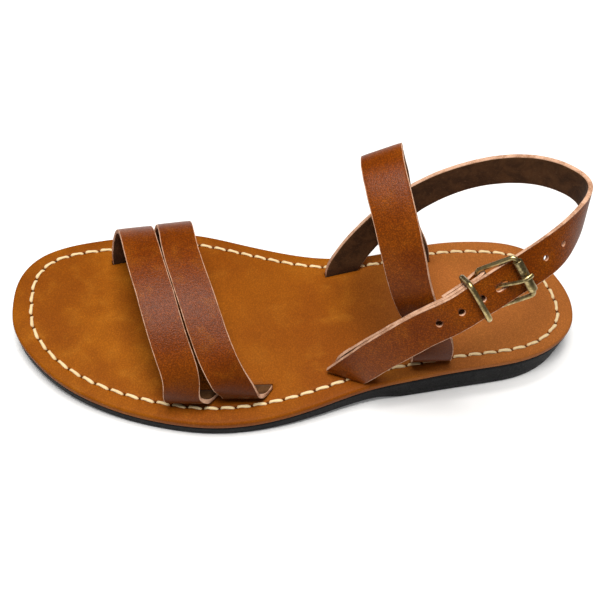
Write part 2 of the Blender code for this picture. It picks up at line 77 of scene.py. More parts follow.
def natural_spline(points: Sequence[Row], steps: Sequence[int]) -> np.ndarray:
    """Cubic spline through rows, spaced by chord length.

    Args:
        points: Rows whose first three numbers are a place.
        steps: Samples between each pair of rows.

    Returns:
        The sampled rows.
    """
    rows = np.array(points, float)
    gaps = np.linalg.norm(np.diff(rows[:, :3], axis=0), axis=1)
    count = len(rows)
    system = np.zeros((count, count))
    right = np.zeros_like(rows)
    system[0, 0] = 1.0
    system[-1, -1] = 1.0
    for i in range(1, count - 1):
        before, after = gaps[i - 1], gaps[i]
        system[i, i - 1:i + 2] = before, 2.0 * (before + after), after
        right[i] = 6.0 * ((rows[i + 1] - rows[i]) / after - (rows[i] - rows[i - 1]) / before)
    bend = np.linalg.solve(system, right)
    made = []
    for i in range(count - 1):
        t = (np.arange(steps[i]) / steps[i])[:, None]
        a, b = 1.0 - t, t
        value = a * rows[i] + b * rows[i + 1]
        made.append(value + ((a ** 3 - a) * bend[i] + (b ** 3 - b) * bend[i + 1]) * gaps[i] ** 2 / 6.0)
    made.append(rows[-1:])
    return np.concatenate(made)


def run_of(curve: np.ndarray, closed: bool = False) -> np.ndarray:
    """Distance along a curve at each of its points.

    Args:
        curve: Points of the curve.
        closed: Whether the way back to the first point is added as a last value.

    Returns:
        The distances, from zero.
    """
    points = np.concatenate([curve, curve[:1]]) if closed else curve
    return np.concatenate([[0.0], np.cumsum(np.linalg.norm(np.diff(points, axis=0), axis=1))])


def smooth_height(table: Sequence[Row], x: np.ndarray) -> np.ndarray:
    """Heights without overshoot from a table of along, height.

    Args:
        table: Rows of along and height.
        x: Places along the foot.

    Returns:
        The height at each place.
    """
    xs = np.array([row[0] for row in table])
    zs = np.array([row[1] for row in table])
    slopes = np.diff(zs) / np.diff(xs)
    tangents = np.zeros(len(xs))
    for i in range(1, len(xs) - 1):
        if slopes[i - 1] * slopes[i] > 0:
            tangents[i] = 2.0 * slopes[i - 1] * slopes[i] / (slopes[i - 1] + slopes[i])
    tangents[0], tangents[-1] = slopes[0], slopes[-1]
    x = np.clip(np.asarray(x, float), xs[0], xs[-1])
    i = np.clip(np.searchsorted(xs, x, side="right") - 1, 0, len(xs) - 2)
    gap = xs[i + 1] - xs[i]
    t = (x - xs[i]) / gap
    value = (2 * t ** 3 - 3 * t ** 2 + 1) * zs[i] + (t ** 3 - 2 * t ** 2 + t) * gap * tangents[i]
    return value + (3 * t ** 2 - 2 * t ** 3) * zs[i + 1] + (t ** 3 - t ** 2) * gap * tangents[i + 1]


def inset(curve: np.ndarray, amount: float | np.ndarray) -> np.ndarray:
    """Move a closed plan curve inward.

    Args:
        curve: Plan points, anticlockwise.
        amount: One distance, or one for each point.

    Returns:
        The moved points.
    """
    ahead = np.roll(curve, -1, axis=0) - np.roll(curve, 1, axis=0)
    ahead /= np.linalg.norm(ahead, axis=1)[:, None]
    inward = np.stack([-ahead[:, 1], ahead[:, 0]], axis=1)
    return curve + inward * np.reshape(amount, (-1, 1))


def inside(points: np.ndarray, loop: np.ndarray) -> np.ndarray:
    """Tell which plan points lie inside a closed loop.

    Args:
        points: Plan points.
        loop: Corners of the loop.

    Returns:
        True for each point inside.
    """
    x, y = points[:, 0][:, None], points[:, 1][:, None]
    x0, y0 = loop[:, 0][None], loop[:, 1][None]
    x1, y1 = np.roll(loop[:, 0], -1)[None], np.roll(loop[:, 1], -1)[None]
    spans = (y0 > y) != (y1 > y)
    with np.errstate(divide="ignore", invalid="ignore"):
        crossing = x < (x1 - x0) * (y - y0) / (y1 - y0) + x0
    return (spans & crossing).sum(axis=1) % 2 == 1


def unit(vector: np.ndarray) -> np.ndarray:
    """A vector at length one."""
    return vector / np.linalg.norm(vector)


def wobble(place: np.ndarray, size: float, seed: float = 0.0) -> float:
    """Smooth noise between about minus one and one at a place in millimetres."""
    return noise.noise(Vector((place[0] / size + seed, place[1] / size, place[2] / size)))


# Meshes


def skin(bm: bmesh.types.BMesh, rings: Sequence[Sequence[bmesh.types.BMVert]], on: bool = False,
         slots: Sequence[int] | None = None) -> None:
    """Faces between neighbouring rings of points, each closed on itself.

    Args:
        bm: Mesh that gets the faces.
        rings: Rings of equal length.
        on: Whether the last ring joins the first.
        slots: Material slot for each step round a ring.
    """
    pairs = list(zip(rings, rings[1:]))
    if on:
        pairs.append((rings[-1], rings[0]))
    count = len(rings[0])
    for low, high in pairs:
        for i in range(count):
            j = (i + 1) % count
            made = bm.faces.new((low[i], low[j], high[j], high[i]))
            if slots is not None:
                made.material_index = slots[i]


def finished_piece(name: str, bm: bmesh.types.BMesh, looks: Sequence[bpy.types.Material],
                   crease_degrees: float = 40.0) -> bpy.types.Object:
    """Turn a mesh in millimetres into a smooth shaded object in metres.

    Args:
        name: Name of the piece.
        bm: The mesh, which is used up.
        looks: Its materials, in slot order.
        crease_degrees: Edges that turn more than this stay sharp.

    Returns:
        The new object.
    """
    bmesh.ops.remove_doubles(bm, verts=bm.verts, dist=0.0005)
    bmesh.ops.recalc_face_normals(bm, faces=bm.faces)
    mesh = bpy.data.meshes.new(name)
    bm.to_mesh(mesh)
    bm.free()
    mesh.transform(Matrix.Scale(MM, 4))
    for look in looks:
        mesh.materials.append(look)
    mesh.shade_smooth()
    mesh.set_sharp_from_angle(angle=math.radians(crease_degrees))
    piece = bpy.data.objects.new(name, mesh)
    bpy.context.scene.collection.objects.link(piece)
    return piece


def hand_over(piece: bpy.types.Object, node: str | None) -> None:
    """Attach a piece to the root and hide the solid that it stands for.

    Args:
        piece: The finished piece.
        node: CAD node that it replaces, if any.
    """
    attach(piece, "root")
    if node:
        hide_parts(node)
    LOG.info("%s: %d faces", piece.name, len(piece.data.polygons))


def punch(piece: bpy.types.Object, cutter: bmesh.types.BMesh, look: bpy.types.Material) -> None:
    """Take a cutter's volume out of a piece, and give the cut walls a look.

    Args:
        piece: Piece that is cut.
        cutter: Cutter mesh in millimetres, which is used up.
        look: Look of the walls of the cut.
    """
    tool = finished_piece("punch", cutter, [look])
    step = piece.modifiers.new("punch", "BOOLEAN")
    step.operation = "DIFFERENCE"
    step.solver = "EXACT"
    step.material_mode = "TRANSFER"
    step.object = tool
    view = bpy.context.evaluated_depsgraph_get()
    mesh = bpy.data.meshes.new_from_object(piece.evaluated_get(view))
    piece.modifiers.clear()
    old = piece.data
    piece.data = mesh
    bpy.data.meshes.remove(old)
    bpy.data.objects.remove(tool, do_unlink=True)


# Finishes


class LookSheet:
    """Node sheet of one material, with short ways to place and wire its nodes."""

    def __init__(self, name: str) -> None:
        """Start a material with a bare Principled shader.

        Args:
            name: Name of the material.
        """
        self.material = bpy.data.materials.new(name)
        self.material.use_nodes = True
        self.tree = self.material.node_tree
        self.shader = self.tree.nodes["Principled BSDF"]
        self.place = self.node("ShaderNodeTexCoord").outputs["Object"]

    def node(self, kind: str, inputs: dict[str | int, object] | None = None,
             **settings: object) -> bpy.types.Node:
        """Place a node.

        Args:
            kind: Blender's name of the node type.
            inputs: Values or sockets for its inputs, by name or number.
            settings: Values of its own settings.

        Returns:
            The node.
        """
        made = self.tree.nodes.new(kind)
        for key, value in settings.items():
            setattr(made, key, value)
        for key, value in (inputs or {}).items():
            self.feed(made.inputs[key], value)
        return made

    def feed(self, socket: bpy.types.NodeSocket, value: object) -> None:
        """Link a socket to another one, or set its value.

        Args:
            socket: Input that is fed.
            value: A socket, a number or a colour.
        """
        if isinstance(value, bpy.types.NodeSocket):
            self.tree.links.new(value, socket)
        elif isinstance(value, tuple) and len(value) == 3 and socket.type == "RGBA":
            socket.default_value = (*value, 1.0)
        else:
            socket.default_value = value

    def set(self, **values: object) -> None:
        """Feed the shader's inputs; an underscore in a name stands for a space."""
        for key, value in values.items():
            self.feed(self.shader.inputs[key.replace("_", " ")], value)

    def grain(self, size: float, detail: float = 3.0, rough: float = 0.5,
              bend: float = 0.0) -> bpy.types.NodeSocket:
        """Cloudy noise.

        Args:
            size: Size of its blobs in millimetres.
            detail: How many finer layers it has.
            rough: How strong the finer layers are.
            bend: How much it is twisted.

        Returns:
            Its value, about 0 to 1.
        """
        made = self.node("ShaderNodeTexNoise", {
            "Vector": self.place, "Scale": 1.0 / (size * MM), "Detail": detail,
            "Roughness": rough, "Distortion": bend,
        })
        return made.outputs["Fac"]

    def pebbles(self, size: float) -> bpy.types.NodeSocket:
        """Cell pattern, whose value is the distance from each cell's middle."""
        made = self.node("ShaderNodeTexVoronoi", {"Vector": self.place, "Scale": 1.0 / (size * MM)})
        return made.outputs["Distance"]

    def span(self, value: bpy.types.NodeSocket, low: float, high: float, to_low: float = 0.0,
             to_high: float = 1.0) -> bpy.types.NodeSocket:
        """Spread a value between two limits over two others, softly at the ends.

        Args:
            value: The value.
            low: Where the spread starts.
            high: Where it ends.
            to_low: Result at the start.
            to_high: Result at the end.

        Returns:
            The spread value.
        """
        made = self.node("ShaderNodeMapRange", {
            "Value": value, "From Min": low, "From Max": high, "To Min": to_low, "To Max": to_high,
        }, interpolation_type="SMOOTHSTEP")
        return made.outputs[0]

    def mixed(self, share: object, first: object, second: object,
              how: Mix = Mix.OVER) -> bpy.types.NodeSocket:
        """Mix two colours.

        Args:
            share: How much of the second there is.
            first: Colour or socket.
            second: Colour or socket.
            how: The way of mixing.

        Returns:
            The mixed colour.
        """
        made = self.node("ShaderNodeMix", data_type="RGBA", blend_type=how.value)
        self.feed(made.inputs[0], share)
        self.feed(made.inputs[6], first)
        self.feed(made.inputs[7], second)
        return made.outputs[2]

    def sum_of(self, *terms: tuple[object, float]) -> bpy.types.NodeSocket:
        """Add values, each times its own weight.

        Args:
            terms: Pairs of a value and its weight.

        Returns:
            The sum.
        """
        total: object = 0.0
        for value, weight in terms:
            made = self.node("ShaderNodeMath", operation="MULTIPLY_ADD")
            self.feed(made.inputs[0], value)
            self.feed(made.inputs[1], weight)
            self.feed(made.inputs[2], total)
            total = made.outputs[0]
        return total

    def mark(self, name: str) -> bpy.types.NodeSocket:
        """A value painted on the mesh's points."""
        return self.node("ShaderNodeAttribute", attribute_name=name).outputs["Fac"]

    def relief(self, height: bpy.types.NodeSocket, depth: float) -> None:
        """Give the shader's normal a relief.

        Args:
            height: Height between 0 and 1.
            depth: Full depth in millimetres.
        """
        made = self.node("ShaderNodeBump", {"Height": height, "Distance": depth * MM, "Strength": 1.0})
        self.feed(self.shader.inputs["Normal"], made.outputs[0])


@dataclass(frozen=True)
class GrainLeather:
    """Smooth grain side of vegetable tanned leather, with its pores and blotches, and painted shade where the
    mesh marks it.

    The tones of heel and ball fade between places along the foot, which are in metres.
    """

    base: Colour
    deep: Colour
    pale: Colour
    blotch: float
    pore: float
    pore_depth: float
    pore_shade: float
    crease: float
    gloss: tuple[float, float]
    shine: float
    # Painted shade read from marks on the mesh: in slots and thread holes, and on strap ends.
    stained_and_shaded: bool = False
    end_shaded: bool = False
    heel_tone: Colour | None = None
    heel_fade: tuple[float, float] = (-0.07, 0.01)
    heel_share: float = 0.75
    ball_rise: tuple[float, float] = (-0.15, -0.11)
    ball_fall: tuple[float, float] = (-0.1, -0.05)
    ball_share: float = 0.55
    hole_shade_tone: Colour = (0.012, 0.006, 0.003)

    def make(self, name: str) -> bpy.types.Material:
        """Build the material.

        Args:
            name: Its name.

        Returns:
            The material.
        """
        sheet = LookSheet(name)
        cloud = sheet.grain(self.blotch, 4.0, 0.55)
        patch = sheet.grain(self.blotch / 4.0, 3.0, 0.6, 0.4)
        speck = sheet.grain(self.pore * 1.15, 1.0, 0.5)
        pits = sheet.pebbles(self.pore)
        colour = sheet.mixed(sheet.span(cloud, 0.38, 0.66), self.deep, self.base)
        colour = sheet.mixed(sheet.span(patch, 0.48, 0.8, 0.0, 0.55), colour, self.pale)
        if self.heel_tone:
            along = sheet.node("ShaderNodeSeparateXYZ", {"Vector": sheet.place}).outputs[0]
            heel = sheet.span(along, *self.heel_fade, 0.0, self.heel_share)
            colour = sheet.mixed(heel, colour, self.heel_tone)
            rise = sheet.span(along, *self.ball_rise, 0.0, self.ball_share)
            fall = sheet.span(along, *self.ball_fall, 1.0, 0.0)
            ball = sheet.node("ShaderNodeMath", {0: rise, 1: fall}, operation="MULTIPLY")
            colour = sheet.mixed(ball.outputs[0], colour, self.deep)
        shade = sheet.span(sheet.sum_of((pits, 0.45), (speck, 0.9)), 0.42, 0.8, 1.0, 1.0 - self.pore_shade)
        grey = sheet.node("ShaderNodeCombineColor", {0: shade, 1: shade, 2: shade}).outputs[0]
        colour = sheet.mixed(1.0, colour, grey, Mix.TIMES)
        if self.stained_and_shaded:
            # Painted shade, partly staining, in and round the strap slots and at the foot of the footbed's
            # edge.
            colour = sheet.mixed(sheet.mark("stain_and_shade"), colour, tuple(c * 0.45 for c in self.deep))
            # Painted shade in the thread holes.
            colour = sheet.mixed(sheet.mark("pit"), colour, self.hole_shade_tone)
        # Painted shade on the strap ends, which turn down away from the light.
        if self.end_shaded:
            colour = sheet.mixed(sheet.mark("end_shade"), colour, tuple(c * 0.3 for c in self.deep))
        rough = sheet.span(sheet.sum_of((cloud, 0.5), (speck, 0.5)), 0.3, 0.7, self.gloss[0], self.gloss[1])
        sheet.set(Base_Color=colour, Roughness=rough, Specular_IOR_Level=self.shine)
        folds = sheet.grain(self.crease, 2.0, 0.45, 0.6)
        sheet.relief(sheet.sum_of((pits, -0.5), (speck, 0.5), (folds, 0.9)), self.pore_depth)
        return sheet.material


@dataclass(frozen=True)
class FleshLeather:
    """Fuzzy inner side of a strap."""

    base: Colour = (0.11, 0.047, 0.016)
    deep: Colour = (0.055, 0.022, 0.007)
    pale: Colour = (0.2, 0.1, 0.045)

    def make(self, name: str) -> bpy.types.Material:
        """Build the material.

        Args:
            name: Its name.

        Returns:
            The material.
        """
        sheet = LookSheet(name)
        cloud = sheet.grain(7.0, 5.0, 0.65, 0.5)
        nap = sheet.grain(0.9, 4.0, 0.7, 0.8)
        colour = sheet.mixed(sheet.span(cloud, 0.35, 0.68), self.deep, self.base)
        colour = sheet.mixed(sheet.span(nap, 0.52, 0.78, 0.0, 0.6), colour, self.pale)
        sheet.set(Base_Color=colour, Roughness=0.92, Specular_IOR_Level=0.08)
        sheet.set(Sheen_Weight=0.08, Sheen_Roughness=0.5)
        sheet.relief(sheet.sum_of((nap, 0.7), (cloud, 0.5)), 0.16)
        return sheet.material


@dataclass(frozen=True)
class CutLeather:
    """Raw cut edge of a strap, pale and fibrous."""

    base: Colour = (0.62, 0.36, 0.23)
    deep: Colour = (0.36, 0.17, 0.09)
    pale: Colour = (0.8, 0.55, 0.4)

    def make(self, name: str) -> bpy.types.Material:
        """Build the material.

        Args:
            name: Its name.

        Returns:
            The material.
        """
        sheet = LookSheet(name)
        cloud = sheet.grain(5.0, 3.0, 0.6)
        fibre = sheet.grain(0.55, 3.0, 0.7)
        colour = sheet.mixed(sheet.span(cloud, 0.36, 0.6), self.deep, self.base)
        colour = sheet.mixed(sheet.span(fibre, 0.45, 0.75, 0.0, 0.75), colour, self.pale)
        sheet.set(Base_Color=colour, Roughness=0.85, Specular_IOR_Level=0.2)
        sheet.relief(fibre, 0.12)
        return sheet.material


@dataclass(frozen=True)
class WaxedThread:
    """Thick cream thread of the seam."""

    base: Colour = (0.85, 0.66, 0.37)
    soiled: Colour = (0.55, 0.35, 0.15)

    def make(self, name: str) -> bpy.types.Material:
        """Build the material.

        Args:
            name: Its name.

        Returns:
            The material.
        """
        sheet = LookSheet(name)
        fuzz = sheet.grain(0.5, 3.0, 0.6)
        soil = sheet.grain(14.0, 3.0, 0.6)
        colour = sheet.mixed(sheet.span(soil, 0.46, 0.78, 0.0, 0.5), self.base, self.soiled)
        colour = sheet.mixed(sheet.span(fuzz, 0.55, 0.8, 0.0, 0.35), colour, self.soiled)
        sheet.set(Base_Color=colour, Roughness=0.7, Specular_IOR_Level=0.3, Sheen_Weight=0.15)
        sheet.relief(fuzz, 0.08)
        return sheet.material


@dataclass(frozen=True)
class SoleRubber:
    """Matte black rubber of the sole."""

    base: Colour = (0.004, 0.004, 0.0045)
    dusty: Colour = (0.011, 0.0105, 0.0105)

    def make(self, name: str) -> bpy.types.Material:
        """Build the material.

        Args:
            name: Its name.

        Returns:
            The material.
        """
        sheet = LookSheet(name)
        dust = sheet.grain(11.0, 5.0, 0.65)
        crumb = sheet.grain(0.7, 3.0, 0.6)
        colour = sheet.mixed(sheet.span(dust, 0.45, 0.75), self.base, self.dusty)
        rough = sheet.span(crumb, 0.3, 0.7, 0.55, 0.75)
        sheet.set(Base_Color=colour, Roughness=rough, Specular_IOR_Level=0.12)
        sheet.relief(sheet.sum_of((crumb, 0.6), (dust, 0.6)), 0.1)
        return sheet.material


@dataclass(frozen=True)
class AgedBrass:
    """Old brass, bright where it rubs and brown where it doesn't."""

    bright: Colour = (0.6, 0.49, 0.25)
    dull: Colour = (0.42, 0.32, 0.14)
    brown: Colour = (0.22, 0.165, 0.075)

    def make(self, name: str) -> bpy.types.Material:
        """Build the material.

        Args:
            name: Its name.

        Returns:
            The material.
        """
        sheet = LookSheet(name)
        patina = sheet.grain(5.0, 3.0, 0.55)
        spots = sheet.grain(1.2, 2.0, 0.5)
        colour = sheet.mixed(sheet.span(patina, 0.34, 0.6), self.brown, self.dull)
        colour = sheet.mixed(sheet.span(spots, 0.44, 0.7, 0.0, 0.7), colour, self.bright)
        rough = sheet.span(sheet.sum_of((patina, 0.5), (spots, 0.5)), 0.35, 0.65, 0.42, 0.32)
        sheet.set(Base_Color=colour, Metallic=1.0, Roughness=rough)
        sheet.relief(sheet.sum_of((spots, 0.5), (patina, 0.7)), 0.02)
        return sheet.material


@dataclass
class Finishes:
    """Every finish of the sandal, made once."""

    footbed: bpy.types.Material = field(init=False)
    strap: bpy.types.Material = field(init=False)
    flesh: bpy.types.Material = field(init=False)
    cut: bpy.types.Material = field(init=False)
    thread: bpy.types.Material = field(init=False)
    rubber: bpy.types.Material = field(init=False)
    brass: bpy.types.Material = field(init=False)

    def __post_init__(self) -> None:
        """Make the materials."""
        # The footbed carries painted shade, partly staining, in its slots and painted shade in its thread
        # holes; the straps carry painted shade on their ends.
        self.footbed = GrainLeather(
            base=(0.4, 0.115, 0.004), deep=(0.28, 0.068, 0.002), pale=(0.47, 0.16, 0.012),
            blotch=48.0, pore=0.5, pore_depth=0.06, pore_shade=0.28, crease=9.0,
            gloss=(0.46, 0.6), shine=0.06, stained_and_shaded=True, heel_tone=(0.47, 0.155, 0.038),
        ).make("footbed_leather")
        self.strap = GrainLeather(
            base=(0.31, 0.068, 0.002), deep=(0.225, 0.043, 0.001), pale=(0.37, 0.1, 0.005),
            blotch=34.0, pore=0.5, pore_depth=0.12, pore_shade=0.5, crease=5.0,
            gloss=(0.33, 0.42), shine=0.11, end_shaded=True,
        ).make("strap_leather")
        self.flesh = FleshLeather().make("strap_flesh")
        self.cut = CutLeather().make("strap_cut_edge")
        self.thread = WaxedThread().make("seam_thread")
        self.rubber = SoleRubber().make("sole_rubber")
        self.brass = AgedBrass().make("buckle_brass")

    def for_strap(self) -> list[bpy.types.Material]:
        """Materials of a strap in the order of its slots."""
        return [self.strap, self.flesh, self.cut]


# The foot's plan and the slots in it


@dataclass(frozen=True)
class Slot:
    """A slot in the footbed: its middle, its turn in degrees and the strap's width."""

    along: float
    across: float
    turn: float
    width: float

    def frame(self) -> tuple[np.ndarray, np.ndarray, np.ndarray]:
        """Middle, direction along the slot and direction out of the foot."""
        turn = math.radians(self.turn)
        along = np.array([math.cos(turn), math.sin(turn), 0.0])
        out = np.array([along[1], -along[0], 0.0])
        return np.array([self.along, self.across, 0.0]), along, -out if self.across > 0 else out

    def loop(self, length: float, width: float, shift_in: float = 0.0, steps: int = 12) -> np.ndarray:
        """Plan loop of an opening at the slot.

        Args:
            length: Its length along the slot.
            width: Its width across.
            shift_in: How far its middle moves into the foot.
            steps: Points along each long side.

        Returns:
            Points, anticlockwise.
        """
        middle, along, out = self.frame()
        middle = middle - out * shift_in
        side = np.array([-along[1], along[0], 0.0])
        half, edge = length / 2.0, width / 2.0
        local = [(u, -edge) for u in np.linspace(-half, half, steps)]
        local += [(half, v) for v in np.linspace(-edge, edge, 4)[1:-1]]
        local += [(u, edge) for u in np.linspace(half, -half, steps)]
        local += [(-half, v) for v in np.linspace(edge, -edge, 4)[1:-1]]
        return np.array([(middle + along * u + side * v)[:2] for u, v in local])


@dataclass(frozen=True)
class FootPlan:
    """Plan and heights that the footbed, the sole and the strap ends share."""

    outline: tuple[Row, ...] = (
        (51.0, -2.0), (49.8, 6.5), (46.0, 17.0), (38.5, 29.0), (27.0, 35.0), (13.0, 37.2),
        (-8.0, 37.3), (-30.0, 34.3), (-48.5, 32.6), (-66.5, 34.3), (-90.5, 41.7),
        (-115.0, 51.3), (-134.0, 56.8), (-152.0, 57.6), (-176.0, 54.6), (-190.0, 51.2),
        (-200.0, 47.2), (-208.0, 41.8), (-214.0, 34.0), (-217.3, 24.5), (-218.0, 13.5),
        (-215.6, -1.8), (-209.0, -13.6), (-194.0, -29.3), (-172.0, -42.5), (-152.5, -49.8),
        (-126.0, -55.3), (-108.0, -55.4), (-77.0, -49.8), (-54.0, -43.8), (-34.0, -41.2),
        (-3.0, -37.6), (22.0, -33.8), (38.0, -26.6), (47.6, -16.8), (50.3, -9.5),
    )
    top: tuple[Row, ...] = (
        (-219.0, 15.0), (-196.0, 12.2), (-176.0, 10.4), (-156.0, 9.5), (-126.0, 9.4),
        (-111.0, 9.6), (-96.0, 10.5), (-76.0, 12.4), (-56.0, 14.7), (-36.0, 16.9),
        (-16.0, 18.4), (14.0, 18.8), (52.0, 18.8),
    )
    tread: tuple[Row, ...] = (
        (-219.0, 5.5), (-196.0, 2.8), (-176.0, 1.0), (-158.0, 0.0), (-112.0, 0.0),
        (-96.0, 0.5), (-76.0, 1.4), (-60.0, 2.2), (-50.0, 2.6), (-36.0, 0.0), (52.0, 0.0),
    )
    front_width: float = 15.9
    rear_width: float = 16.1
    instep_width: float = 18.0
    ankle_width: float = 16.5
    slot_width: float = 2.6
    slot_end_room: float = 0.25
    slots: dict[str, Slot] = field(init=False)

    def __post_init__(self) -> None:
        """Place the slots."""
        object.__setattr__(self, "slots", {
            "front_outer": Slot(-129.6, -38.7, -4.6, self.front_width),
            "front_inner": Slot(-165.5, 40.6, 14.0, self.front_width),
            "rear_outer": Slot(-105.6, -37.7, -4.0, self.rear_width),
            "rear_inner": Slot(-145.7, 41.9, 14.0, self.rear_width),
            "instep_outer": Slot(-24.0, -28.2, -3.4, self.instep_width),
            "instep_inner": Slot(-23.9, 26.1, 0.0, self.instep_width),
            "ankle_inner": Slot(-59.0, 23.8, 7.5, self.ankle_width),
            "buckle_outer": Slot(-60.2, -29.1, 13.1, self.ankle_width),
        })

    def rim(self, step: float) -> np.ndarray:
        """Outline of the footbed as a smooth closed curve, evenly spaced.

        Args:
            step: Distance between its points.

        Returns:
            Plan points, anticlockwise.
        """
        wrap = 6
        rows = [(x, y, 0.0) for x, y in self.outline]
        rows = rows[-wrap:] + rows + rows[:wrap]
        fine = 24
        curve = natural_spline(rows, [fine] * (len(rows) - 1))
        curve = curve[wrap * fine:(wrap + len(self.outline)) * fine, :2]
        run = run_of(curve, closed=True)
        closed = np.concatenate([curve, curve[:1]])
        count = round(run[-1] / step)
        places = np.arange(count) * run[-1] / count
        return np.stack([np.interp(places, run, closed[:, k]) for k in range(2)], axis=1)

    def top_at(self, x: np.ndarray | float) -> np.ndarray:
        """Height of the footbed's top."""
        return smooth_height(self.top, x)

    def tread_at(self, x: np.ndarray | float) -> np.ndarray:
        """Height of the sole's underside."""
        return smooth_height(self.tread, x)


def cap(bm: bmesh.types.BMesh, outer: Sequence[bmesh.types.BMVert],
        holes: Sequence[Sequence[bmesh.types.BMVert]], spacing: float,
        lift: Callable[[float, float], float]) -> None:
    """Fill a ring with an even net of triangles that leaves holes open.

    Args:
        bm: Mesh that gets the faces.
        outer: Points of the ring, anticlockwise in plan.
        holes: Rings that stay open.
        spacing: Distance between the net's points.
        lift: Height of a point of the net from its place in plan.
    """
    verts = list(outer)
    edges = [(i, (i + 1) % len(outer)) for i in range(len(outer))]
    loops = []
    for hole in holes:
        first = len(verts)
        verts.extend(hole)
        edges.extend((first + i, first + (i + 1) % len(hole)) for i in range(len(hole)))
        loops.append(np.array([vert.co[:2] for vert in hole]))
    rim = np.array([vert.co[:2] for vert in outer])
    low, high = rim.min(axis=0), rim.max(axis=0)
    net = []
    for k, y in enumerate(np.arange(low[1], high[1], spacing * 0.87)):
        shift = spacing / 2.0 if k % 2 else 0.0
        net.extend((x + shift, y) for x in np.arange(low[0], high[0], spacing))
    net = np.array(net)
    keep = inside(net, inset(rim, spacing * 0.45))
    for loop in loops:
        middle = loop.mean(axis=0)
        reach = np.linalg.norm(loop - middle, axis=1)[:, None]
        wider = middle + (loop - middle) * (1.0 + spacing * 0.35 / np.maximum(reach, 1.0))
        keep &= ~inside(net, wider)
    for x, y in net[keep]:
        verts.append(bm.verts.new((x, y, lift(x, y))))
    places = [Vector(vert.co[:2]) for vert in verts]
    made = delaunay_2d_cdt(places, edges, [], 1, 1e-5)
    source = made[3]
    middles = np.array([np.mean([made[0][i][:] for i in face], axis=0) for face in made[2]])
    shut = np.zeros(len(middles), bool)
    for loop in loops:
        shut |= inside(middles, loop)
    for face, closed in zip(made[2], shut):
        corners = [source[i][0] if source[i] else None for i in face]
        if closed or None in corners or len(set(corners)) < 3:
            continue
        try:
            bm.faces.new([verts[i] for i in corners])
        except ValueError:
            LOG.debug("a face of the net was there already")


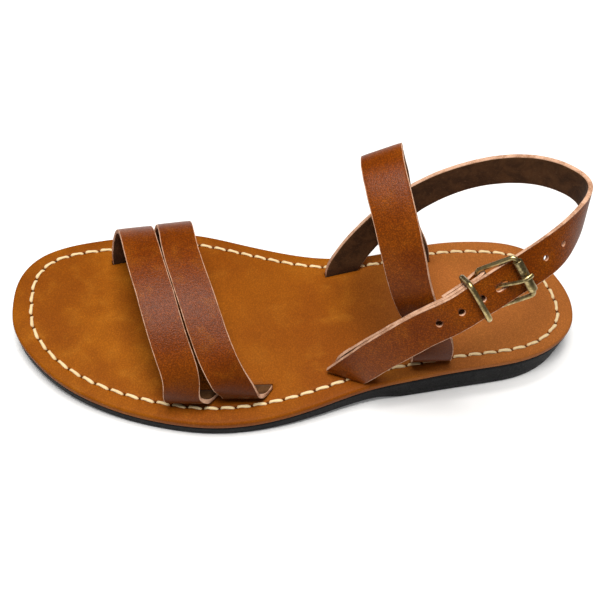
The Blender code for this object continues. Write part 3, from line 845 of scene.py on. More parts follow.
@dataclass
class Footbed:
    """Leather footbed with its rounded rim, strap slots and sewn seam."""

    plan: FootPlan
    finishes: Finishes
    thickness: float = 4.0
    step: float = 0.55
    seam_in: tuple[Row, ...] = (
        (0.0, 8.6), (0.04, 7.9), (0.1, 7.5), (0.15, 6.6), (0.29, 6.2), (0.35, 7.5), (0.4, 7.6),
        (0.435, 6.0), (0.47, 7.5), (0.51, 9.2), (0.55, 7.0), (0.6, 7.4), (0.72, 8.4), (0.79, 7.1),
        (0.87, 6.5), (0.945, 4.9), (0.975, 7.6), (1.0, 8.6),
    )
    pitch: float = 7.25
    seam_start: float = 0.0
    groove: float = 0.25
    hole_depth: float = 0.65
    thread_radius: float = 0.66
    unevenness: float = 0.1
    unevenness_size: float = 16.0

    def hand_made(self, x: float, y: float) -> float:
        """Slight unevenness of the top at a place in plan."""
        return self.unevenness * wobble(np.array([x, y, 0.0]), self.unevenness_size)

    def seam(self) -> tuple[np.ndarray, np.ndarray, float]:
        """Seam line in plan with the distance along it, and the true stitch pitch."""
        line = inset(self.plan.rim(self.step), self.seam_inset())
        run = run_of(line, closed=True)
        count = round(run[-1] / self.pitch)
        return line, run, run[-1] / count

    def seam_inset(self) -> np.ndarray:
        """Distance of the seam from each point of the rim, as uneven as hand work leaves it."""
        rim = self.plan.rim(self.step)
        share = np.arange(len(rim)) / len(rim)
        rows = np.array(self.seam_in)
        inward = np.interp(share, rows[:, 0], rows[:, 1])
        reach = 25
        even = np.ones(2 * reach + 1) / (2 * reach + 1)
        wrapped = np.concatenate([inward[-reach:], inward, inward[:reach]])
        return np.convolve(wrapped, even, "valid")

    def relief(self, off: np.ndarray, run: np.ndarray, pitch: float) -> tuple[np.ndarray, np.ndarray]:
        """Groove and thread holes along the seam.

        Args:
            off: Distance in from the seam at each point.
            run: Distance along the seam at each point.
            pitch: Distance between thread holes.

        Returns:
            Heights to add, and how much painted shade darkens each point in the thread holes.
        """
        along = (run - self.seam_start + pitch / 2.0) % pitch - pitch / 2.0
        turned_u = along * 0.86 + off * 0.5
        turned_v = off * 0.86 - along * 0.5
        hole = np.exp(-(turned_u / 0.5) ** 2 - (turned_v / 0.95) ** 2)
        dip = np.exp(-(off / 0.75) ** 2)
        # The thread holes are darkened with painted shade.
        return -self.groove * dip - self.hole_depth * hole, np.clip(hole * 1.5 - 0.25, 0.0, 1.0)

    def build_leather(self) -> bpy.types.Object:
        """Build the leather itself.

        Returns:
            The piece.
        """
        bm = bmesh.new()
        pit = bm.verts.layers.float.new("pit")
        stain_and_shade = bm.verts.layers.float.new("stain_and_shade")
        rim = self.plan.rim(self.step)
        _, run, pitch = self.seam()
        low = -self.thickness
        shape = [
            (0.9, low), (0.35, low + 0.12), (0.08, low + 0.45), (0.0, low + 0.9), (0.0, -1.9), (0.05, -1.3),
            (0.22, -0.8), (0.5, -0.42), (0.9, -0.17), (1.5, -0.03), (2.3, 0.0),
        ]
        seam_in = self.seam_inset()
        inner = [(np.full(len(rim), inward), z) for inward, z in shape]
        inner.append(((seam_in - 2.0) * 0.5 + 1.15, 0.0))
        inner += [(seam_in + d, 0.0) for d in np.arange(-1.6, 1.7, 0.32)]
        inner.append((seam_in + 2.3, 0.0))
        rings = []
        for inward, z in inner:
            places = inset(rim, inward)
            dips, dark = self.relief(inward - seam_in, run[:-1], pitch)
            heights = self.plan.top_at(places[:, 0]) + z + dips
            ring = []
            for (x, y), height, shade, deep in zip(places, heights, dark, inward):
                bulge = self.hand_made(x, y) if z > -0.1 else 0.0
                vert = bm.verts.new((x, y, height + bulge))
                vert[pit] = shade
                # Painted shade, partly staining, at the foot of the footbed's edge, next to the sole.
                vert[stain_and_shade] = 0.15 * max(0.0, 1.0 - deep / 1.2) if z < -1.0 else 0.0
                ring.append(vert)
            rings.append(ring)
        skin(bm, rings)

        mouths = []
        for slot in self.plan.slots.values():
            length = slot.width + 2.0 * self.plan.slot_end_room
            levels = ((0.5, 0.0), (0.2, -0.12), (0.0, -0.5), (0.0, low))
            loops = []
            for wider, z in levels:
                loop = slot.loop(length + wider, self.plan.slot_width + wider)
                heights = self.plan.top_at(loop[:, 0]) + z
                loops.append([bm.verts.new((x, y, height)) for (x, y), height in zip(loop, heights)])
            # Painted shade, partly staining: dark on the slot walls and lighter round their mouths.
            for vert in loops[1] + loops[2] + loops[3]:
                vert[stain_and_shade] = 0.8
            for vert in loops[0]:
                vert[stain_and_shade] = 0.3
            skin(bm, loops)
            mouths.append(loops)

        def top(x: float, y: float) -> float:
            """Height of the top with its slight hand made unevenness."""
            return float(self.plan.top_at(x)) + self.hand_made(x, y)

        cap(bm, rings[-1], [loops[0] for loops in mouths], 2.6, top)
        cap(bm, rings[0], [loops[-1] for loops in mouths], 9.0, lambda x, y: float(self.plan.top_at(x)) + low)
        return finished_piece("footbed_dressed", bm, [self.finishes.footbed], 50.0)

    def build_seam(self) -> bpy.types.Object:
        """Lay the seam: one twisted length of thread from hole to hole.

        Returns:
            The piece.
        """
        line, run, pitch = self.seam()
        closed = np.concatenate([line, line[:1]])
        count = round(run[-1] / pitch)
        bm = bmesh.new()
        for k in range(count):
            start = (self.seam_start + k * pitch) % run[-1]
            uneven = wobble(np.array([k * 1.7, 0.3, 0.1]), 1.0)
            self.lay_stitch(bm, closed, run, start, pitch, uneven)
        return finished_piece("seam_thread", bm, [self.finishes.thread], 60.0)

    def lay_stitch(self, bm: bmesh.types.BMesh, line: np.ndarray, run: np.ndarray, start: float, pitch: float,
                   uneven: float) -> None:
        """Lay one stitch.

        Args:
            bm: Mesh that gets it.
            line: Seam line in plan.
            run: Distance along the seam.
            start: Distance of its first hole.
            pitch: Distance to its next hole.
            uneven: How it differs from its neighbours, about minus one to one.
        """
        rings = []
        for t in np.linspace(0.0, 1.0, 21):
            reach = 0.45 + t * (pitch - 0.9)
            place = (start + reach) % run[-1]
            spot = np.array([np.interp(place, run, line[:, k]) for k in range(2)])
            ahead = np.array([np.interp((place + 0.3) % run[-1], run, line[:, k]) for k in range(2)]) - spot
            ahead = unit(np.array([*ahead, 0.0]))
            side = np.array([-ahead[1], ahead[0], 0.0])
            lean = (0.5 - t) * (0.62 + 0.25 * uneven)
            arch = 1.0 - (2.0 * t - 1.0) ** 4
            height = float(self.plan.top_at(spot[0])) - 0.85 + 1.0 * arch + 0.06 * uneven
            centre = np.array([*(spot + side[:2] * lean), height])
            girth = self.thread_radius * (0.72 + 0.28 * min(1.0, arch * 1.6)) * (1.0 + 0.08 * uneven)
            ring = []
            for k in range(12):
                angle = math.tau * k / 12.0
                ply = 1.0 + 0.1 * math.cos(2.0 * angle + 9.0 * t)
                flat = side * math.cos(angle) * 1.12 + np.array([0.0, 0.0, 0.85]) * math.sin(angle)
                ring.append(bm.verts.new(centre + flat * girth * ply))
            rings.append(ring)
        skin(bm, rings)
        bm.faces.new(rings[0])
        bm.faces.new(rings[-1])

    def build(self) -> None:
        """Build and hand over the footbed and its seam."""
        hand_over(self.build_leather(), "footbed")
        hand_over(self.build_seam(), None)


@dataclass
class Outsole:
    """Black rubber sole with its low heel and the pockets for the strap ends."""

    plan: FootPlan
    finishes: Finishes
    step: float = 1.6
    leather: float = 4.3
    side_step: float = 0.15
    heel_undercut: float = 2.0
    undercut_from: float = 18.0
    undercut_length: float = 28.0
    pocket_depth: float = 2.2
    pocket_width: float = 13.2
    pocket_in: float = 4.1

    def build(self) -> None:
        """Build and hand over the sole."""
        bm = bmesh.new()
        rim = self.plan.rim(self.step)
        back = np.clip((rim[:, 0] - self.undercut_from) / self.undercut_length, 0.0, 1.0)
        foot = self.side_step + (self.heel_undercut - self.side_step) * back ** 1.5
        top_in = np.full(len(rim), self.side_step)
        levels = [(0.0, 1.0, 0.0), (0.0, 0.35, 0.28), (0.0, 0.0, 0.8)]
        levels += [(share, 0.0, 0.0) for share in (0.3, 0.6, 0.85)]
        rings = []
        for share, inward, rise in levels:
            rings.append(self.ring(bm, rim, foot * (1.0 - share) + top_in * share + inward, share, rise))
        rings.append(self.ring(bm, rim, top_in, 1.0, 0.0, -0.5))
        rings.append(self.ring(bm, rim, top_in + 0.3, 1.0, 0.0, 0.0))
        skin(bm, rings)
        mouths = []
        for slot in self.plan.slots.values():
            length = slot.width + 2.0 * self.plan.slot_end_room
            loop = slot.loop(length, self.pocket_width, self.pocket_in)
            loops = []
            for deep in (0.0, -self.pocket_depth):
                heights = self.plan.top_at(loop[:, 0]) - self.leather + deep
                loops.append([bm.verts.new((x, y, z)) for (x, y), z in zip(loop, heights)])
            skin(bm, loops)
            bm.faces.new(loops[1])
            mouths.append(loops[0])
        cap(bm, rings[-1], mouths, 9.0, lambda x, y: float(self.plan.top_at(x)) - self.leather)
        cap(bm, rings[0], [], 4.0, lambda x, y: float(self.plan.tread_at(x)))
        piece = finished_piece("outsole_dressed", bm, [self.finishes.rubber], 35.0)
        hand_over(piece, "outsole")

    def ring(self, bm: bmesh.types.BMesh, rim: np.ndarray, inward: np.ndarray, share: float, rise: float,
             from_top: float = 0.0) -> list[bmesh.types.BMVert]:
        """One ring of the sole's side.

        Args:
            bm: Mesh that gets the points.
            rim: Outline of the footbed.
            inward: Distance in from the outline at each point.
            share: Height as a share of the way from the tread to the top.
            rise: Distance over that height.
            from_top: Distance over the sole's top, where the share is one.

        Returns:
            The ring's points.
        """
        places = inset(rim, inward)
        low = self.plan.tread_at(places[:, 0])
        top = self.plan.top_at(places[:, 0]) - self.leather
        heights = low * (1.0 - share) + top * share + rise + from_top
        return [bm.verts.new((x, y, z)) for (x, y), z in zip(places, heights)]


# Straps


@dataclass
class StrapPath:
    """A strap's sampled centre line with its directions."""

    centre: np.ndarray
    wide: np.ndarray
    side: np.ndarray
    thick: np.ndarray

    @classmethod
    def through(cls, rows: Sequence[Row], step: float = 0.9, most_shear: float = 0.9) -> "StrapPath":
        """Sample rows of place, width direction and thickness.

        Args:
            rows: The rows.
            step: Distance between samples.
            most_shear: Limit that keeps a slanted width from growing.

        Returns:
            The path.
        """
        table = np.array(rows, float)
        gaps = np.linalg.norm(np.diff(table[:, :3], axis=0), axis=1)
        curve = natural_spline(table, [max(2, round(gap / step)) for gap in gaps])
        centre = curve[:, :3]
        run = run_of(centre)
        ahead = np.stack([np.gradient(centre[:, k], run) for k in range(3)], axis=1)
        ahead /= np.linalg.norm(ahead, axis=1)[:, None]
        wide = curve[:, 3:6] / np.linalg.norm(curve[:, 3:6], axis=1)[:, None]
        square = wide - ahead * (ahead * wide).sum(axis=1)[:, None]
        spread = np.linalg.norm(square, axis=1)[:, None]
        side = np.cross(ahead, square / spread)
        return cls(centre, wide / np.maximum(spread, most_shear), side, curve[:, 6])

    def at(self, origin: Row, distance: float) -> tuple[np.ndarray, np.ndarray, np.ndarray]:
        """Centre, width and side directions at a distance back from a point of the path.

        Args:
            origin: The point.
            distance: Distance back toward the path's start.

        Returns:
            The three vectors.
        """
        run = run_of(self.centre)
        middle = run[np.argmin(np.linalg.norm(self.centre - np.array(origin), axis=1))]
        place = middle - distance
        parts = (self.centre, self.wide, self.side)
        return tuple(np.array([np.interp(place, run, part[:, k]) for k in range(3)]) for part in parts)


@dataclass(frozen=True)
class StrapCut:
    """Cross section of a strap: cut square, its long edges a little rounded."""

    width: float
    soft: float = 0.32
    crown: float = 0.14
    across: int = 12

    def outline(self, thick: float) -> tuple[list[tuple[float, float]], list[Face]]:
        """Points round the section, and the side that follows each point.

        Args:
            thick: Thickness there.

        Returns:
            Points as across and out, and sides.
        """
        half, deep, soft = self.width / 2.0, thick / 2.0, self.soft
        points: list[tuple[float, float]] = []
        sides: list[Face] = []
        for way, face in ((1.0, Face.GRAIN), (-1.0, Face.FLESH)):
            for k in range(self.across + 1):
                a = (half - soft) * (1.0 - 2.0 * k / self.across)
                drop = self.crown * abs(a / half) ** 6 if face is Face.GRAIN else 0.0
                points.append((way * a, way * (deep - drop)))
                sides.append(face if k < self.across else Face.CUT)
            for degrees in (35.0, 68.0):
                turn = math.radians(degrees)
                a = half - soft + soft * math.sin(turn)
                points.append((-way * a, way * (deep - soft + soft * math.cos(turn) - self.crown * 0.6)))
                sides.append(Face.CUT)
            for b in (deep - soft - self.crown * 0.5, 0.0, soft - deep):
                points.append((-way * half, way * b))
                sides.append(Face.CUT)
            for degrees in (68.0, 35.0):
                turn = math.radians(degrees)
                a = half - soft + soft * math.sin(turn)
                points.append((-way * a, -way * (deep - soft + soft * math.cos(turn))))
                sides.append(Face.CUT)
        return points, sides


@dataclass
class Strap:
    """One leather strap, from rows of place, width direction and thickness."""

    name: str
    path: StrapPath
    width: float
    grain_side: float
    finishes: Finishes
    unevenness: float = 0.12
    # Painted shade on the ends: how far it reaches from each end, and over what length it fades.
    shaded_ends: tuple[float, float] = (0.0, 0.0)
    end_shade_fade: float = 28.0

    def build(self) -> bpy.types.Object:
        """Build the strap's mesh.

        Returns:
            The piece, not yet handed over.
        """
        section = StrapCut(self.width)
        bm = bmesh.new()
        rings = []
        slots: list[int] = []
        seed = sum(ord(letter) for letter in self.name) * 0.37
        end_shade = bm.verts.layers.float.new("end_shade")
        run = run_of(self.path.centre)
        # Painted shade that fades in from the strap's ends, which turn down away from the light.
        dark = np.zeros(len(run))
        for reach, away in zip(self.shaded_ends, (run, run[-1] - run)):
            if reach > 0.0:
                dark = np.maximum(dark, np.clip((reach - away) / self.end_shade_fade, 0.0, 1.0))
        for c, w, s, t, d in zip(self.path.centre, self.path.wide, self.path.side, self.path.thick, dark):
            points, sides = section.outline(t)
            slots = [face.value for face in sides]
            ring = []
            for a, b in points:
                edge_seed = seed + (0.0 if a > 0 else 9.0)
                shake = self.unevenness * wobble(c, 5.5, edge_seed) * abs(a) / self.width * 2.0
                vert = bm.verts.new(c + w * (a + shake * math.copysign(1.0, a)) + s * b * self.grain_side)
                vert[end_shade] = d
                ring.append(vert)
            rings.append(ring)
        skin(bm, rings, slots=slots)
        for end in (rings[0], rings[-1]):
            bm.faces.new(end).material_index = Face.CUT.value
        return finished_piece(self.name, bm, self.finishes.for_strap(), 38.0)


@dataclass
class BucklePlace:
    """Axes at the buckle's middle: along to the heel, up the strap, out of the strap.

    The near bar, which the fold and the prong go round, is at a distance along and out.
    """

    middle: Row = (-5.0, -32.8, 70.2)
    axis: Row = (0.853, 0.331, 0.405)
    upward: Row = (-0.52, 0.43, 0.74)
    bar: Row = (-3.4, -4.8)
    along: np.ndarray = field(init=False)
    up: np.ndarray = field(init=False)
    out: np.ndarray = field(init=False)

    def __post_init__(self) -> None:
        """Square the axes."""
        self.along = unit(np.array(self.axis))
        up = np.array(self.upward)
        self.up = unit(up - self.along * np.dot(self.along, up))
        out = np.cross(self.along, self.up)
        self.out = -out if out[1] > 0 else out

    def at(self, along: float, up: float, out: float) -> np.ndarray:
        """Point in the sandal's frame from distances at the buckle."""
        return np.array(self.middle) + self.along * along + self.up * up + self.out * out


@dataclass
class StrapSet:
    """All straps of the sandal."""

    plan: FootPlan
    finishes: Finishes
    buckle: BucklePlace
    thickness: float = 2.0
    layer_offsets: Row = (2.4, 2.5, 3.0)
    hole_at: float = 3.0
    hole_pitch: float = 10.2
    hole_radius: float = 1.5
    unused_hole: float = 0.8
    holes_each_way: int = 3
    prong_hole: float = 6.4
    prong_hole_shift: float = 0.7
    prong_cut: Row = (7.6, 2.8)
    tab: tuple[Row, ...] = (
        (-9.5, -5.15, 0.0, 1.2), (-6.0, -5.15, 0.0, 1.2), (-3.2, -5.15, 0.0, 1.2),
        (-1.35, -4.8, 0.0, 1.3), (-0.3, -3.8, 0.0, 1.5), (0.0, -2.3, 0.0, 1.8),
        (0.0, -0.7, 0.0, 2.0),
    )
    curl: tuple[Row, ...] = (
        (0.4, 0.65, 0.0, 2.0), (1.9, 1.9, -0.9, 2.0), (4.1, 2.3, -2.4, 2.0),
        (6.3, 3.1, -4.3, 2.0), (7.6, 5.0, -5.7, 2.0), (8.2, 8.0, -6.9, 2.0),
    )
    front: tuple[Row, ...] = (
        (-137.2, -43.8, 25.0, 0.96, 0.22, 0.16), (-140.6, -32.3, 36.8, 0.96, 0.28, 0.09),
        (-146.6, -11.7, 46.0, 0.96, 0.27, 0.02), (-152.9, 11.9, 48.1, 0.97, 0.24, -0.04),
        (-157.5, 31.1, 41.8, 0.97, 0.22, -0.11), (-162.2, 41.3, 28.0, 0.96, 0.23, -0.14),
    )
    rear: tuple[Row, ...] = (
        (-116.6, -43.0, 25.7, 0.93, 0.27, 0.24), (-123.2, -31.2, 36.3, 0.95, 0.3, 0.11),
        (-129.8, -10.3, 45.2, 0.96, 0.28, 0.01), (-136.2, 13.5, 47.6, 0.97, 0.22, -0.05),
        (-139.6, 33.4, 42.2, 0.97, 0.2, -0.1), (-143.0, 42.8, 28.2, 0.96, 0.24, -0.13),
    )
    instep: tuple[Row, ...] = (
        (-26.2, -34.4, 34.0, 0.93, -0.27, 0.25), (-34.5, -29.8, 52.8, 0.87, -0.33, 0.37),
        (-42.9, -20.5, 77.2, 0.91, -0.21, 0.36), (-48.2, -4.0, 94.6, 0.94, -0.04, 0.33),
        (-49.8, 11.5, 99.4, 0.95, 0.06, 0.31), (-48.0, 23.5, 95.4, 0.95, 0.11, 0.3),
        (-44.4, 29.8, 83.4, 0.95, 0.12, 0.29), (-40.0, 31.0, 69.4, 0.95, 0.1, 0.28),
        (-34.6, 29.9, 46.2, 0.95, 0.07, 0.29),
    )
    ankle_to_buckle: tuple[Row, ...] = (
        (-54.6, 27.0, 23.8, -0.92, -0.06, 0.38), (-42.8, 32.9, 36.3, -0.81, 0.0, 0.58),
        (-26.4, 36.7, 51.3, -0.66, 0.03, 0.75), (-5.8, 35.7, 66.1, -0.49, 0.01, 0.87),
        (15.6, 28.4, 78.0, -0.31, 0.05, 0.95), (32.2, 15.9, 84.4, -0.19, 0.04, 0.98),
        (38.6, 3.6, 85.7, -0.1, 0.0, 0.99), (31.0, -11.2, 82.6, -0.17, 0.25, 0.95),
    )
    straight: Row = (18.0, 12.0, 6.0, 0.0, -6.0, -12.0, -18.0)
    ankle_to_tip: tuple[Row, ...] = (
        (-33.4, -40.4, 54.6, -0.5, 0.48, 0.72), (-43.4, -41.0, 45.8, -0.57, 0.47, 0.67),
        (-52.6, -40.6, 35.2, -0.66, 0.45, 0.6), (-59.8, -39.4, 24.0, -0.77, 0.44, 0.42),
        (-64.0, -37.5, 15.5, -0.9, 0.42, 0.05),
    )
    buckle_strap_foot: tuple[Row, ...] = (
        (-58.9, -35.3, 23.4, -0.87, 0.26, 0.32), (-59.9, -32.2, 19.2, -0.95, 0.0, 0.12),
    )
    fold: tuple[Row, ...] = (
        (-20.5, -4.95), (-17.0, -4.95), (-13.6, -4.95), (-10.9, -5.1), (-8.1, -5.8),
        (-5.4, -6.95), (-3.4, -7.2), (-1.7, -6.5), (-1.0, -4.8), (-1.7, -3.1), (-3.4, -2.4),
        (-8.0, -2.4), (-12.5, -2.4), (-17.0, -2.4),
    )

    def end_rows(self, slot: str, profile: Sequence[Row], lean: float = 0.0,
                 reverse: bool = False) -> list[Row]:
        """Rows of a strap's end at its slot.

        Args:
            slot: Name of the slot.
            profile: Rows of distance out, height, drift along the slot and thickness.
            lean: Scale of its drift along the slot.
            reverse: Whether its width points toward the toe.

        Returns:
            The rows.
        """
        centre, along, out = self.plan.slots[slot].frame()
        rows = []
        for outward, up, drift, thick in profile:
            place = centre + out * outward + along * drift * lean
            base = float(self.plan.top_at(place[0]))
            slope = float(self.plan.top_at(place[0] + 6.0) - self.plan.top_at(place[0] - 6.0)) / 12.0
            direction = along + np.array([0.0, 0.0, slope * along[0]])
            rows.append((*place[:2], base + up, *(-direction if reverse else direction), thick))
        return rows

    def thick(self, rows: Sequence[Row]) -> list[Row]:
        """Rows with the full strap thickness added."""
        return [(*row, self.thickness) for row in rows]

    def cross_strap(self, node: str, rows: Sequence[Row], slots: str, width: float, lean: float) -> None:
        """Build a strap that crosses the foot from slot to slot.

        Args:
            node: CAD node that it stands for.
            rows: Its rows between the slots.
            slots: Name that its outer and its inner slot begin with.
            width: Its width.
            lean: Scale of its curled end's drift.
        """
        start = self.end_rows(slots + "_outer", self.tab + self.curl, lean)
        finish = self.end_rows(slots + "_inner", self.tab)[::-1]
        path = StrapPath.through(start + self.thick(rows) + finish)
        # Painted shade on both ends, where the strap turns down away from the light.
        piece = Strap(node + "_dressed", path, width, -1.0, self.finishes, shaded_ends=(50.0, 34.0)).build()
        hand_over(piece, node)

    def ankle_rows(self) -> list[Row]:
        """Rows of the ankle strap from its inner slot to its tip."""
        straight = [(*self.buckle.at(s, 0.0, 0.0), *self.buckle.up) for s in self.straight]
        start = self.end_rows("ankle_inner", self.tab, reverse=True)
        return start + self.thick([*self.ankle_to_buckle, *straight, *self.ankle_to_tip])

    def build_ankle_strap(self) -> None:
        """Build the ankle strap with its punched holes."""
        path = StrapPath.through(self.ankle_rows())
        piece = Strap("ankle_strap_dressed", path, self.plan.ankle_width, -1.0, self.finishes).build()
        cutter = bmesh.new()
        for k in range(-self.holes_each_way, self.holes_each_way + 1):
            centre, wide, side = path.at(self.buckle.middle, self.hole_at + k * self.hole_pitch)
            drawn = self.prong_hole - 2.0 * self.hole_radius if k == 0 else 0.0
            if k == 0:
                centre = centre - self.buckle.along * self.prong_hole_shift
            radius = self.hole_radius * (self.unused_hole if k > 0 else 1.0)
            self.hole(cutter, centre, side, np.cross(wide, side), drawn, radius)
        punch(piece, cutter, self.finishes.cut)
        hand_over(piece, "ankle_strap")

    def hole(self, bm: bmesh.types.BMesh, centre: np.ndarray, axis: np.ndarray, run: np.ndarray, drawn: float,
             radius: float) -> None:
        """Add a punch's shape, round or drawn out along the strap.

        Args:
            bm: Cutter mesh.
            centre: Middle of the hole.
            axis: Direction through the strap.
            run: Direction along the strap.
            drawn: How much longer than round it is.
            radius: Radius of its ends.
        """
        axis = unit(axis)
        first = unit(run - axis * np.dot(axis, run))
        second = np.cross(axis, first)
        rings = []
        for depth in (-3.0, 3.0):
            ring = []
            for i in range(28):
                angle = math.tau * (i + 0.5) / 28.0
                shift = math.copysign(drawn / 2.0, math.cos(angle))
                flat = first * (radius * math.cos(angle) + shift)
                flat = flat + second * radius * math.sin(angle)
                ring.append(bm.verts.new(centre + flat + axis * depth))
            rings.append(ring)
        skin(bm, rings)
        bm.faces.new(rings[0])
        bm.faces.new(rings[1])

    def build_buckle_strap(self) -> None:
        """Build the short strap that holds the buckle, folded round its bar."""
        up = self.buckle.up
        rows = [(*self.buckle.at(s, 0.0, n), *up, self.thickness) for s, n in self.fold]
        ankle = StrapPath.through(self.ankle_rows())
        for row, offset in zip(self.ankle_to_tip, self.layer_offsets):
            i = int(np.argmin(np.linalg.norm(ankle.centre - np.array(row[:3]), axis=1)))
            inward = ankle.side[i] if ankle.side[i][1] > 0 else -ankle.side[i]
            rows.append((*(ankle.centre[i] + inward * offset), *ankle.wide[i], self.thickness))
        rows += self.thick(self.buckle_strap_foot)
        rows += self.end_rows("buckle_outer", self.tab + ((0.2, 0.8, 0.0, 2.0),), reverse=True)[::-1]
        # Painted shade on its end at the outer slot, where the strap turns down away from the light.
        piece = Strap(
            "buckle_strap_dressed", StrapPath.through(rows), self.plan.ankle_width, 1.0, self.finishes,
            shaded_ends=(0.0, 50.0),
        ).build()
        cutter = bmesh.new()
        bmesh.ops.create_cube(cutter, size=1.0)
        bar_along, bar_out = self.buckle.bar
        length, width = self.prong_cut
        for corner in cutter.verts:
            place = (bar_along + corner.co.x * length, corner.co.y * width, bar_out + corner.co.z * length)
            corner.co = Vector(self.buckle.at(*place))
        punch(piece, cutter, self.finishes.cut)
        hand_over(piece, "buckle_strap")

    def build(self) -> None:
        """Build every strap."""
        self.cross_strap("front_toe_strap", self.front, "front", self.plan.front_width, 1.0)
        self.cross_strap("rear_toe_strap", self.rear, "rear", self.plan.rear_width, 0.92)
        self.cross_strap("instep_strap", self.instep, "instep", self.plan.instep_width, 0.16)
        self.build_ankle_strap()
        self.build_buckle_strap()


# Buckle and keeper


@dataclass
class Wirework:
    """Round brass wire bent along points."""

    finishes: Finishes

    def bend(self, name: str, points: Sequence[Row], radii: Callable[[float], tuple[float, float]],
             closed: bool, sides: int = 20) -> bpy.types.Object:
        """Bend a wire.

        Args:
            name: Name of the piece.
            points: Places along the wire.
            radii: Half width in the wire's plane and half depth across it, from the share along.
            closed: Whether the wire joins itself.
            sides: Points round the wire.

        Returns:
            The piece, not yet handed over.
        """
        rows = np.array(points, float)
        count = len(rows)
        normal = np.linalg.svd(rows - rows.mean(axis=0))[2][2]
        bm = bmesh.new()
        rings = []
        for i in range(count):
            if closed:
                ahead = rows[(i + 1) % count] - rows[i - 1]
            else:
                ahead = rows[min(i + 1, count - 1)] - rows[max(i - 1, 0)]
            ahead = unit(ahead)
            first = unit(normal - ahead * np.dot(normal, ahead))
            second = np.cross(ahead, first)
            flat, deep = radii(i / max(1, count - 1))
            ring = []
            for k in range(sides):
                angle = math.tau * k / sides
                place = rows[i] + first * math.cos(angle) * deep + second * math.sin(angle) * flat
                ring.append(bm.verts.new(place))
            rings.append(ring)
        skin(bm, rings, on=closed)
        if not closed:
            for end, way in ((rings[0], 0), (rings[-1], -1)):
                self.round_off(bm, end, rows[way] - rows[1 if way == 0 else -2])
        return finished_piece(name, bm, [self.finishes.brass], 50.0)

    def round_off(self, bm: bmesh.types.BMesh, ring: Sequence[bmesh.types.BMVert], ahead: np.ndarray) -> None:
        """Close a wire's end with a small dome.

        Args:
            bm: Mesh of the wire.
            ring: Its last ring.
            ahead: Direction off the end.
        """
        ahead = unit(ahead)
        places = np.array([vert.co[:] for vert in ring])
        middle = places.mean(axis=0)
        reach = float(np.linalg.norm(places - middle, axis=1).mean())
        rings = [list(ring)]
        for degrees in (30.0, 60.0):
            turn = math.radians(degrees)
            step = middle + (places - middle) * math.cos(turn) + ahead * reach * math.sin(turn) * 0.6
            rings.append([bm.verts.new(place) for place in step])
        skin(bm, rings)
        bm.faces.new(rings[-1])


def rounded_loop(corners: Sequence[np.ndarray], radius: float, steps: int = 10,
                 between: int = 8) -> list[np.ndarray]:
    """Closed loop through corners with rounded turns.

    Args:
        corners: The corners in order.
        radius: How far from a corner its turn starts.
        steps: Points in each turn.
        between: Points on each straight.

    Returns:
        The loop's points.
    """
    made: list[np.ndarray] = []
    ends = []
    for i, corner in enumerate(corners):
        before = unit(corners[i - 1] - corner)
        after = unit(corners[(i + 1) % len(corners)] - corner)
        ends.append((corner + before * radius, corner, corner + after * radius))
    for i, (start, corner, finish) in enumerate(ends):
        for t in np.linspace(0.0, 1.0, steps):
            made.append((1 - t) ** 2 * start + 2 * t * (1 - t) * corner + t ** 2 * finish)
        following = ends[(i + 1) % len(ends)][0]
        for t in np.linspace(0.0, 1.0, between + 2)[1:-1]:
            made.append((1 - t) * finish + t * following)
    return made


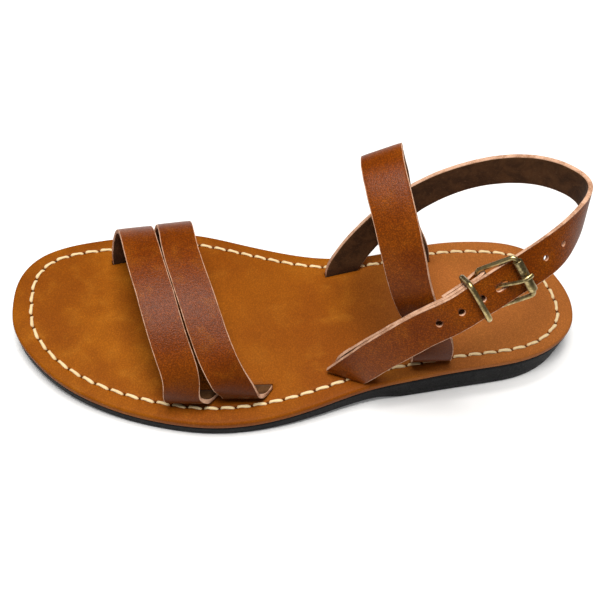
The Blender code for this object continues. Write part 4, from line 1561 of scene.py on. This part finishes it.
@dataclass
class Buckle:
    """Roller buckle in aged brass, and the keeper that holds the strap's free end."""

    place: BucklePlace
    finishes: Finishes
    roller: Row = (12.0, 3.4)
    half_width: float = 9.8
    wire: float = 1.0
    frame_turn: float = 2.4
    prong_wire: float = 0.85
    prong_gap: float = 0.3
    roller_radius: float = 2.0
    roller_bore: float = 1.3
    roller_end_room: float = 2.1
    keeper_at: float = -9.2
    keeper_wire: float = 1.1
    keeper_half: float = 9.7
    keeper_top: float = 2.5
    keeper_low: float = -8.3
    keeper_dome: float = 0.7
    keeper_turn: float = 2.3
    prong: tuple[Row, ...] = (
        (-1.0, -2.6), (1.2, -1.3), (2.9, 0.3), (4.9, 2.1), (7.5, 4.6), (9.8, 6.15),
        (12.0, 6.65), (14.0, 6.4),
    )

    def build_frame(self) -> None:
        """Build the frame."""
        at, half, bar = self.place.at, self.half_width, self.place.bar
        corners = [
            at(bar[0], -half, bar[1]), at(self.roller[0], -half, self.roller[1]),
            at(self.roller[0], half, self.roller[1]), at(bar[0], half, bar[1]),
        ]
        piece = Wirework(self.finishes).bend(
            "buckle_frame_dressed", rounded_loop(corners, self.frame_turn),
            lambda t: (self.wire * 1.02, self.wire), True,
        )
        hand_over(piece, "buckle_frame")

    def build_roller(self) -> None:
        """Build the roller, a rolled tube with a seam that stays a little open."""
        bm = bmesh.new()
        length = self.half_width - self.roller_end_room
        outer, bore = self.roller_radius, self.roller_bore
        shape = [
            (-length + 0.25, outer), (-length * 0.5, outer), (0.0, outer), (length * 0.5, outer),
            (length - 0.25, outer), (length - 0.06, outer - 0.08), (length, outer - 0.25),
            (length, bore + 0.12), (length - 0.12, bore), (-length + 0.12, bore),
            (-length, bore + 0.12), (-length, outer - 0.25), (-length + 0.06, outer - 0.08),
        ]
        rings = []
        for across, radius in shape:
            ring = []
            for k in range(40):
                angle = math.tau * k / 40.0
                notch = 0.14 * math.exp(-(((angle - 2.2) / 0.14) ** 2)) if radius > bore + 0.2 else 0.0
                centre = self.place.at(self.roller[0], across, self.roller[1])
                spoke = self.place.along * math.cos(angle) + self.place.out * math.sin(angle)
                ring.append(bm.verts.new(centre + (radius - notch) * spoke))
            rings.append(ring)
        skin(bm, rings, on=True)
        piece = finished_piece("buckle_roller_dressed", bm, [self.finishes.brass], 50.0)
        hand_over(piece, "buckle_roller")

    def build_prong(self) -> None:
        """Build the prong with its loop round the bar and its flattened tip."""
        loop = self.wire + self.prong_gap + self.prong_wire
        bar = self.place.bar
        path = []
        for degrees in range(-45, -271, -15):
            angle = math.radians(degrees)
            path.append((bar[0] + loop * math.cos(angle), bar[1] + loop * math.sin(angle), 0.0))
        rest = [path[-1]] + [(s, n, 0.0) for s, n in self.prong]
        path = path[:-1] + [tuple(row) for row in natural_spline(rest, [5] * (len(rest) - 1))]
        points = [self.place.at(s, 0.0, n) for s, n, _ in path]

        def radii(share: float) -> tuple[float, float]:
            """Flatten and widen the wire toward the tip."""
            tip = max(0.0, (share - 0.75) / 0.25)
            return self.prong_wire * (1.0 - 0.35 * tip), self.prong_wire * (1.0 + 0.12 * tip)

        piece = Wirework(self.finishes).bend("buckle_prong_dressed", points, radii, False, 16)
        hand_over(piece, "buckle_prong")

    def build_keeper(self) -> None:
        """Build the keeper, domed over the strap."""
        at, half = self.place.at, self.keeper_half
        top, low = self.keeper_top, self.keeper_low
        crown = top + self.keeper_dome
        corners = [
            at(self.keeper_at, -half, low), at(self.keeper_at, -half, top),
            at(self.keeper_at, -half * 0.5, crown), at(self.keeper_at, half * 0.5, crown),
            at(self.keeper_at, half, top), at(self.keeper_at, half, low),
        ]
        piece = Wirework(self.finishes).bend(
            "strap_keeper_dressed", rounded_loop(corners, self.keeper_turn, between=5),
            lambda t: (self.keeper_wire, self.keeper_wire * 1.12), True,
        )
        hand_over(piece, "strap_keeper")

    def build(self) -> None:
        """Build the four pieces of brass."""
        self.build_frame()
        self.build_roller()
        self.build_prong()
        self.build_keeper()


# Studio


@dataclass(frozen=True)
class Lamp:
    """A soft rectangular lamp that points at a spot; distances in metres."""

    name: str
    place: Row
    aim: Row
    size: tuple[float, float]
    power: float
    colour: Colour = (1.0, 1.0, 1.0)

    def build(self) -> None:
        """Hang the lamp."""
        data = bpy.data.lights.new(self.name, "AREA")
        data.shape = "RECTANGLE"
        data.size, data.size_y = self.size
        data.energy = self.power
        data.color = self.colour
        lamp = bpy.data.objects.new(self.name, data)
        lamp.location = self.place
        lamp.rotation_euler = (Vector(self.aim) - Vector(self.place)).to_track_quat("-Z", "Y").to_euler()
        bpy.context.scene.collection.objects.link(lamp)


@dataclass
class Studio:
    """Pale floor, soft lamps and the camera at the photograph's angle."""

    camera_at: Row = (-0.1110, -0.2286, 0.3318)
    elevation: float = 52.528
    azimuth: float = -8.704
    roll: float = -4.544
    lens: float = 48.877
    shift: tuple[float, float] = (-0.02268, -0.0139)
    lamps: tuple[Lamp, ...] = (
        Lamp("top_softbox", (-0.12, 0.0, 0.85), (-0.08, 0.0, 0.0), (0.55, 0.42), 10.0, (1.0, 0.985, 0.96)),
        Lamp("front_fill", (-0.35, -0.75, 0.55), (-0.08, 0.0, 0.03), (0.6, 0.5), 0.35),
    )
    sky_light: float = 0.08
    floor_half: float = 4000.0
    floor_glow: float = 0.12

    def build_floor(self) -> None:
        """Lay the pale floor."""
        bm = bmesh.new()
        for x, y in ((-1.0, -1.0), (1.0, -1.0), (1.0, 1.0), (-1.0, 1.0)):
            bm.verts.new((x * self.floor_half, y * self.floor_half, 0.0))
        bm.faces.new(list(bm.verts))
        sheet = LookSheet("studio_floor")
        sheet.set(Base_Color=(0.93, 0.93, 0.93), Roughness=0.9, Specular_IOR_Level=0.1)
        sheet.set(Emission_Color=(1.0, 1.0, 1.0), Emission_Strength=self.floor_glow)
        finished_piece("floor", bm, [sheet.material])

    def build_camera(self) -> None:
        """Place the camera."""
        tilt, turn, roll = (math.radians(value) for value in (self.elevation, self.azimuth, self.roll))
        back = np.array([math.sin(turn) * math.cos(tilt), -math.cos(turn) * math.cos(tilt), math.sin(tilt)])
        right = np.array([math.cos(turn), math.sin(turn), 0.0])
        up = np.cross(back, right)
        rolled_right = right * math.cos(roll) - up * math.sin(roll)
        rolled_up = right * math.sin(roll) + up * math.cos(roll)
        data = bpy.data.cameras.new("photo_camera")
        data.sensor_width = 36.0
        data.lens = self.lens
        data.shift_x, data.shift_y = self.shift
        data.clip_start = 0.01
        camera = bpy.data.objects.new("photo_camera", data)
        matrix = Matrix.Identity(4)
        for column, vector in enumerate((rolled_right, rolled_up, back, np.array(self.camera_at))):
            for row in range(3):
                matrix[row][column] = vector[row]
        camera.matrix_world = matrix
        bpy.context.scene.collection.objects.link(camera)
        bpy.context.scene.camera = camera

    def build(self) -> None:
        """Set up floor, lamps, surroundings and camera."""
        self.build_floor()
        for lamp in self.lamps:
            lamp.build()
        world = bpy.data.worlds.new("studio")
        world.use_nodes = True
        sky = world.node_tree.nodes["Background"]
        sky.inputs["Color"].default_value = (1.0, 1.0, 1.0, 1.0)
        sky.inputs["Strength"].default_value = self.sky_light
        bpy.context.scene.world = world
        bpy.context.scene.view_settings.view_transform = "Standard"
        self.build_camera()


def main() -> None:
    """Dress every piece of the sandal and set up the studio."""
    logging.basicConfig(level=logging.INFO, format="%(name)s: %(message)s")
    Studio().build()
    plan = FootPlan()
    finishes = Finishes()
    place = BucklePlace()
    Outsole(plan, finishes).build()
    Footbed(plan, finishes).build()
    StrapSet(plan, finishes, place).build()
    Buckle(place, finishes).build()


if __name__ == "__main__":
    main()
